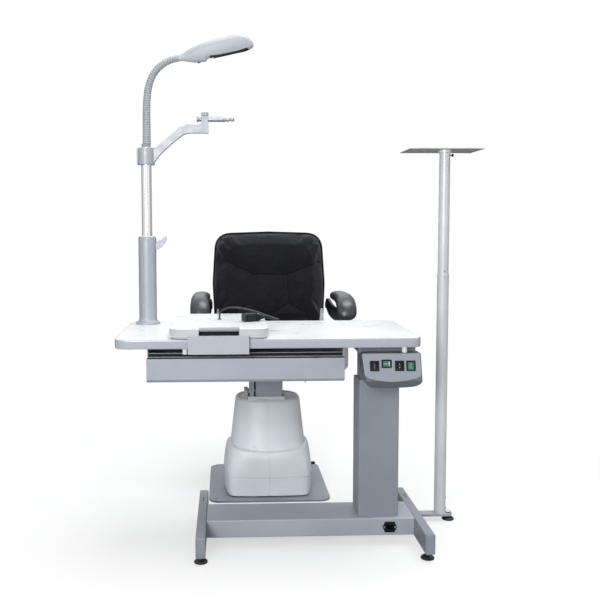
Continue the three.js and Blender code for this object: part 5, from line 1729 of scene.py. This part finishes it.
def surroundings(scene):
    """White to the eye; an overhead glow on matt surfaces; a softbox room with dark sides on polished ones."""
    world = bpy.data.worlds.new("studio")
    scene.world = world
    world.use_nodes = True
    nodes, links = world.node_tree.nodes, world.node_tree.links
    nodes.clear()

    def made(kind, **settings):
        node = nodes.new(kind)
        for key, value in settings.items():
            setattr(node, key, value)
        return node

    place = made("ShaderNodeTexCoord")
    split = made("ShaderNodeSeparateXYZ")
    links.new(place.outputs["Generated"], split.inputs[0])

    def graded(socket, start, end, low, high):
        grade = made("ShaderNodeMapRange")
        links.new(socket, grade.inputs[0])
        for index, value in ((1, start), (2, end), (3, low), (4, high)):
            grade.inputs[index].default_value = value
        return grade.outputs[0]

    flipped = made("ShaderNodeMath", operation="MULTIPLY")
    links.new(split.outputs["Y"], flipped.inputs[0])
    flipped.inputs[1].default_value = -1.0
    bearing = made("ShaderNodeMath", operation="ARCTAN2")
    links.new(split.outputs["X"], bearing.inputs[0])
    links.new(flipped.outputs[0], bearing.inputs[1])
    turn = graded(bearing.outputs[0], -math.pi, math.pi, 0.0, 1.0)
    ramp = made("ShaderNodeValToRGB")
    links.new(turn, ramp.inputs[0])
    stops = (
        (0.0, 0.46), (0.09, 0.42), (0.13, 0.32), (0.21, 0.34), (0.25, 0.76), (0.36, 0.92), (0.5, 0.93),
        (0.62, 0.90), (0.67, 0.68),
        (0.73, 0.50), (0.86, 0.42), (0.92, 0.44), (1.0, 0.46),
    )
    elements = ramp.color_ramp.elements
    while len(elements) < len(stops):
        elements.new(0.5)
    for element, (position, level) in zip(elements, stops):
        element.position = position
        element.color = (level, level, level * 1.01, 1.0)
    high = graded(split.outputs["Z"], 0.35, 0.75, 0.0, 1.0)
    sky = made("ShaderNodeMix", data_type="RGBA")
    links.new(high, sky.inputs[0])
    links.new(ramp.outputs["Color"], sky.inputs[6])
    sky.inputs[7].default_value = (1.05, 1.06, 1.08, 1.0)
    room = made("ShaderNodeBackground")
    links.new(sky.outputs[2], room.inputs["Color"])

    soft = made("ShaderNodeBackground")
    soft.inputs["Color"].default_value = (0.97, 0.985, 1.0, 1.0)
    links.new(graded(split.outputs["Z"], -0.1, 0.9, 0.22, 0.50), soft.inputs["Strength"])
    seen = made("ShaderNodeBackground")
    seen.inputs["Color"].default_value = (1.0, 1.0, 1.0, 1.0)
    path = made("ShaderNodeLightPath")
    polished = made("ShaderNodeMixShader")
    links.new(path.outputs["Is Glossy Ray"], polished.inputs[0])
    links.new(soft.outputs[0], polished.inputs[1])
    links.new(room.outputs[0], polished.inputs[2])
    blend = made("ShaderNodeMixShader")
    links.new(path.outputs["Is Camera Ray"], blend.inputs[0])
    links.new(polished.outputs[0], blend.inputs[1])
    links.new(seen.outputs[0], blend.inputs[2])
    output = made("ShaderNodeOutputWorld")
    links.new(blend.outputs[0], output.inputs["Surface"])


def studio():
    scene = bpy.context.scene
    scene.view_settings.view_transform = "Standard"
    camera = bpy.data.objects.new("camera", bpy.data.cameras.new("camera"))
    scene.collection.objects.link(camera)
    camera.data.lens = 46.8
    camera.data.sensor_width = 36.0
    camera.data.shift_x = 0.0771
    camera.data.shift_y = -0.0269
    camera.location = (-0.1751, -3.3534, 1.1135)
    camera.rotation_euler = (math.pi / 2 - 0.071, 0.0023, -0.0356)
    scene.camera = camera

    floor_mesh = bpy.data.meshes.new("floor")
    floor_mesh.from_pydata(
        [(-40, -40, -0.0004), (40, -40, -0.0004), (40, 40, -0.0004), (-40, 40, -0.0004)], [], [(0, 1, 2, 3)],
    )
    floor = bpy.data.objects.new("floor", floor_mesh)
    scene.collection.objects.link(floor)
    f = Finish("Floor")
    tone = f.tint((0.90, 0.905, 0.91), f.remap(f.noise(1.5, 3.0), 0.985, 1.01, 0.3, 0.7))
    distance = f.node("ShaderNodeVectorMath", operation="LENGTH")
    f.feed(distance, i0=f.place)
    ray = f.node("ShaderNodeLightPath")
    away = f.maths(
        "MULTIPLY", f.remap(distance.outputs["Value"], 0.55, 1.0, 0.6, 1.7), ray.outputs["Is Camera Ray"],
    )
    f.set(Base_Color=f.mix(ray.outputs["Is Camera Ray"], rgb((0.30, 0.31, 0.325)), tone), Roughness=0.8)
    glow = f.node("ShaderNodeEmission")
    glow.inputs["Strength"].default_value = 1.0
    fade = f.node("ShaderNodeMixShader")
    f.feed(fade, i0=away, i1=f.surface.outputs["BSDF"], i2=glow.outputs["Emission"])
    output = next(n for n in f.nodes if n.bl_idname == "ShaderNodeOutputMaterial")
    f.links.new(fade.outputs[0], output.inputs["Surface"])
    floor_mesh.materials.append(f.material)
    surroundings(scene)

    for name, at, aim, size, power in (
        ("key", (-1.35, -4.9, 1.85), (0.05, -0.5, 0.7), 1.5, 130.0),
        ("top", (1.4, -0.4, 7.0), (0.1, -0.5, 0.0), 4.0, 330.0),
        ("fill", (2.6, -2.6, 1.6), (0.1, -0.5, 0.8), 2.2, 4.0),
        ("rear", (0.0, 3.2, 2.8), (0.0, -0.3, 0.8), 2.4, 14.0),
    ):
        light = bpy.data.lights.new(name, "AREA")
        light.shape, light.size, light.energy = "SQUARE", size, power
        lamp_object = bpy.data.objects.new(name, light)
        scene.collection.objects.link(lamp_object)
        lamp_object.location = at
        lamp_object.rotation_euler = (Vector(aim) - Vector(at)).to_track_quat("-Z", "Y").to_euler()


table_base()
rising_table()
instrument_board()
control_box()
pole_sleeve()
pole_tube()
clamp_lever()
refractor_arm()
holder_rod()
gooseneck()
lamp()
projector_stand()
chair_base()
chair_seat()
studio()
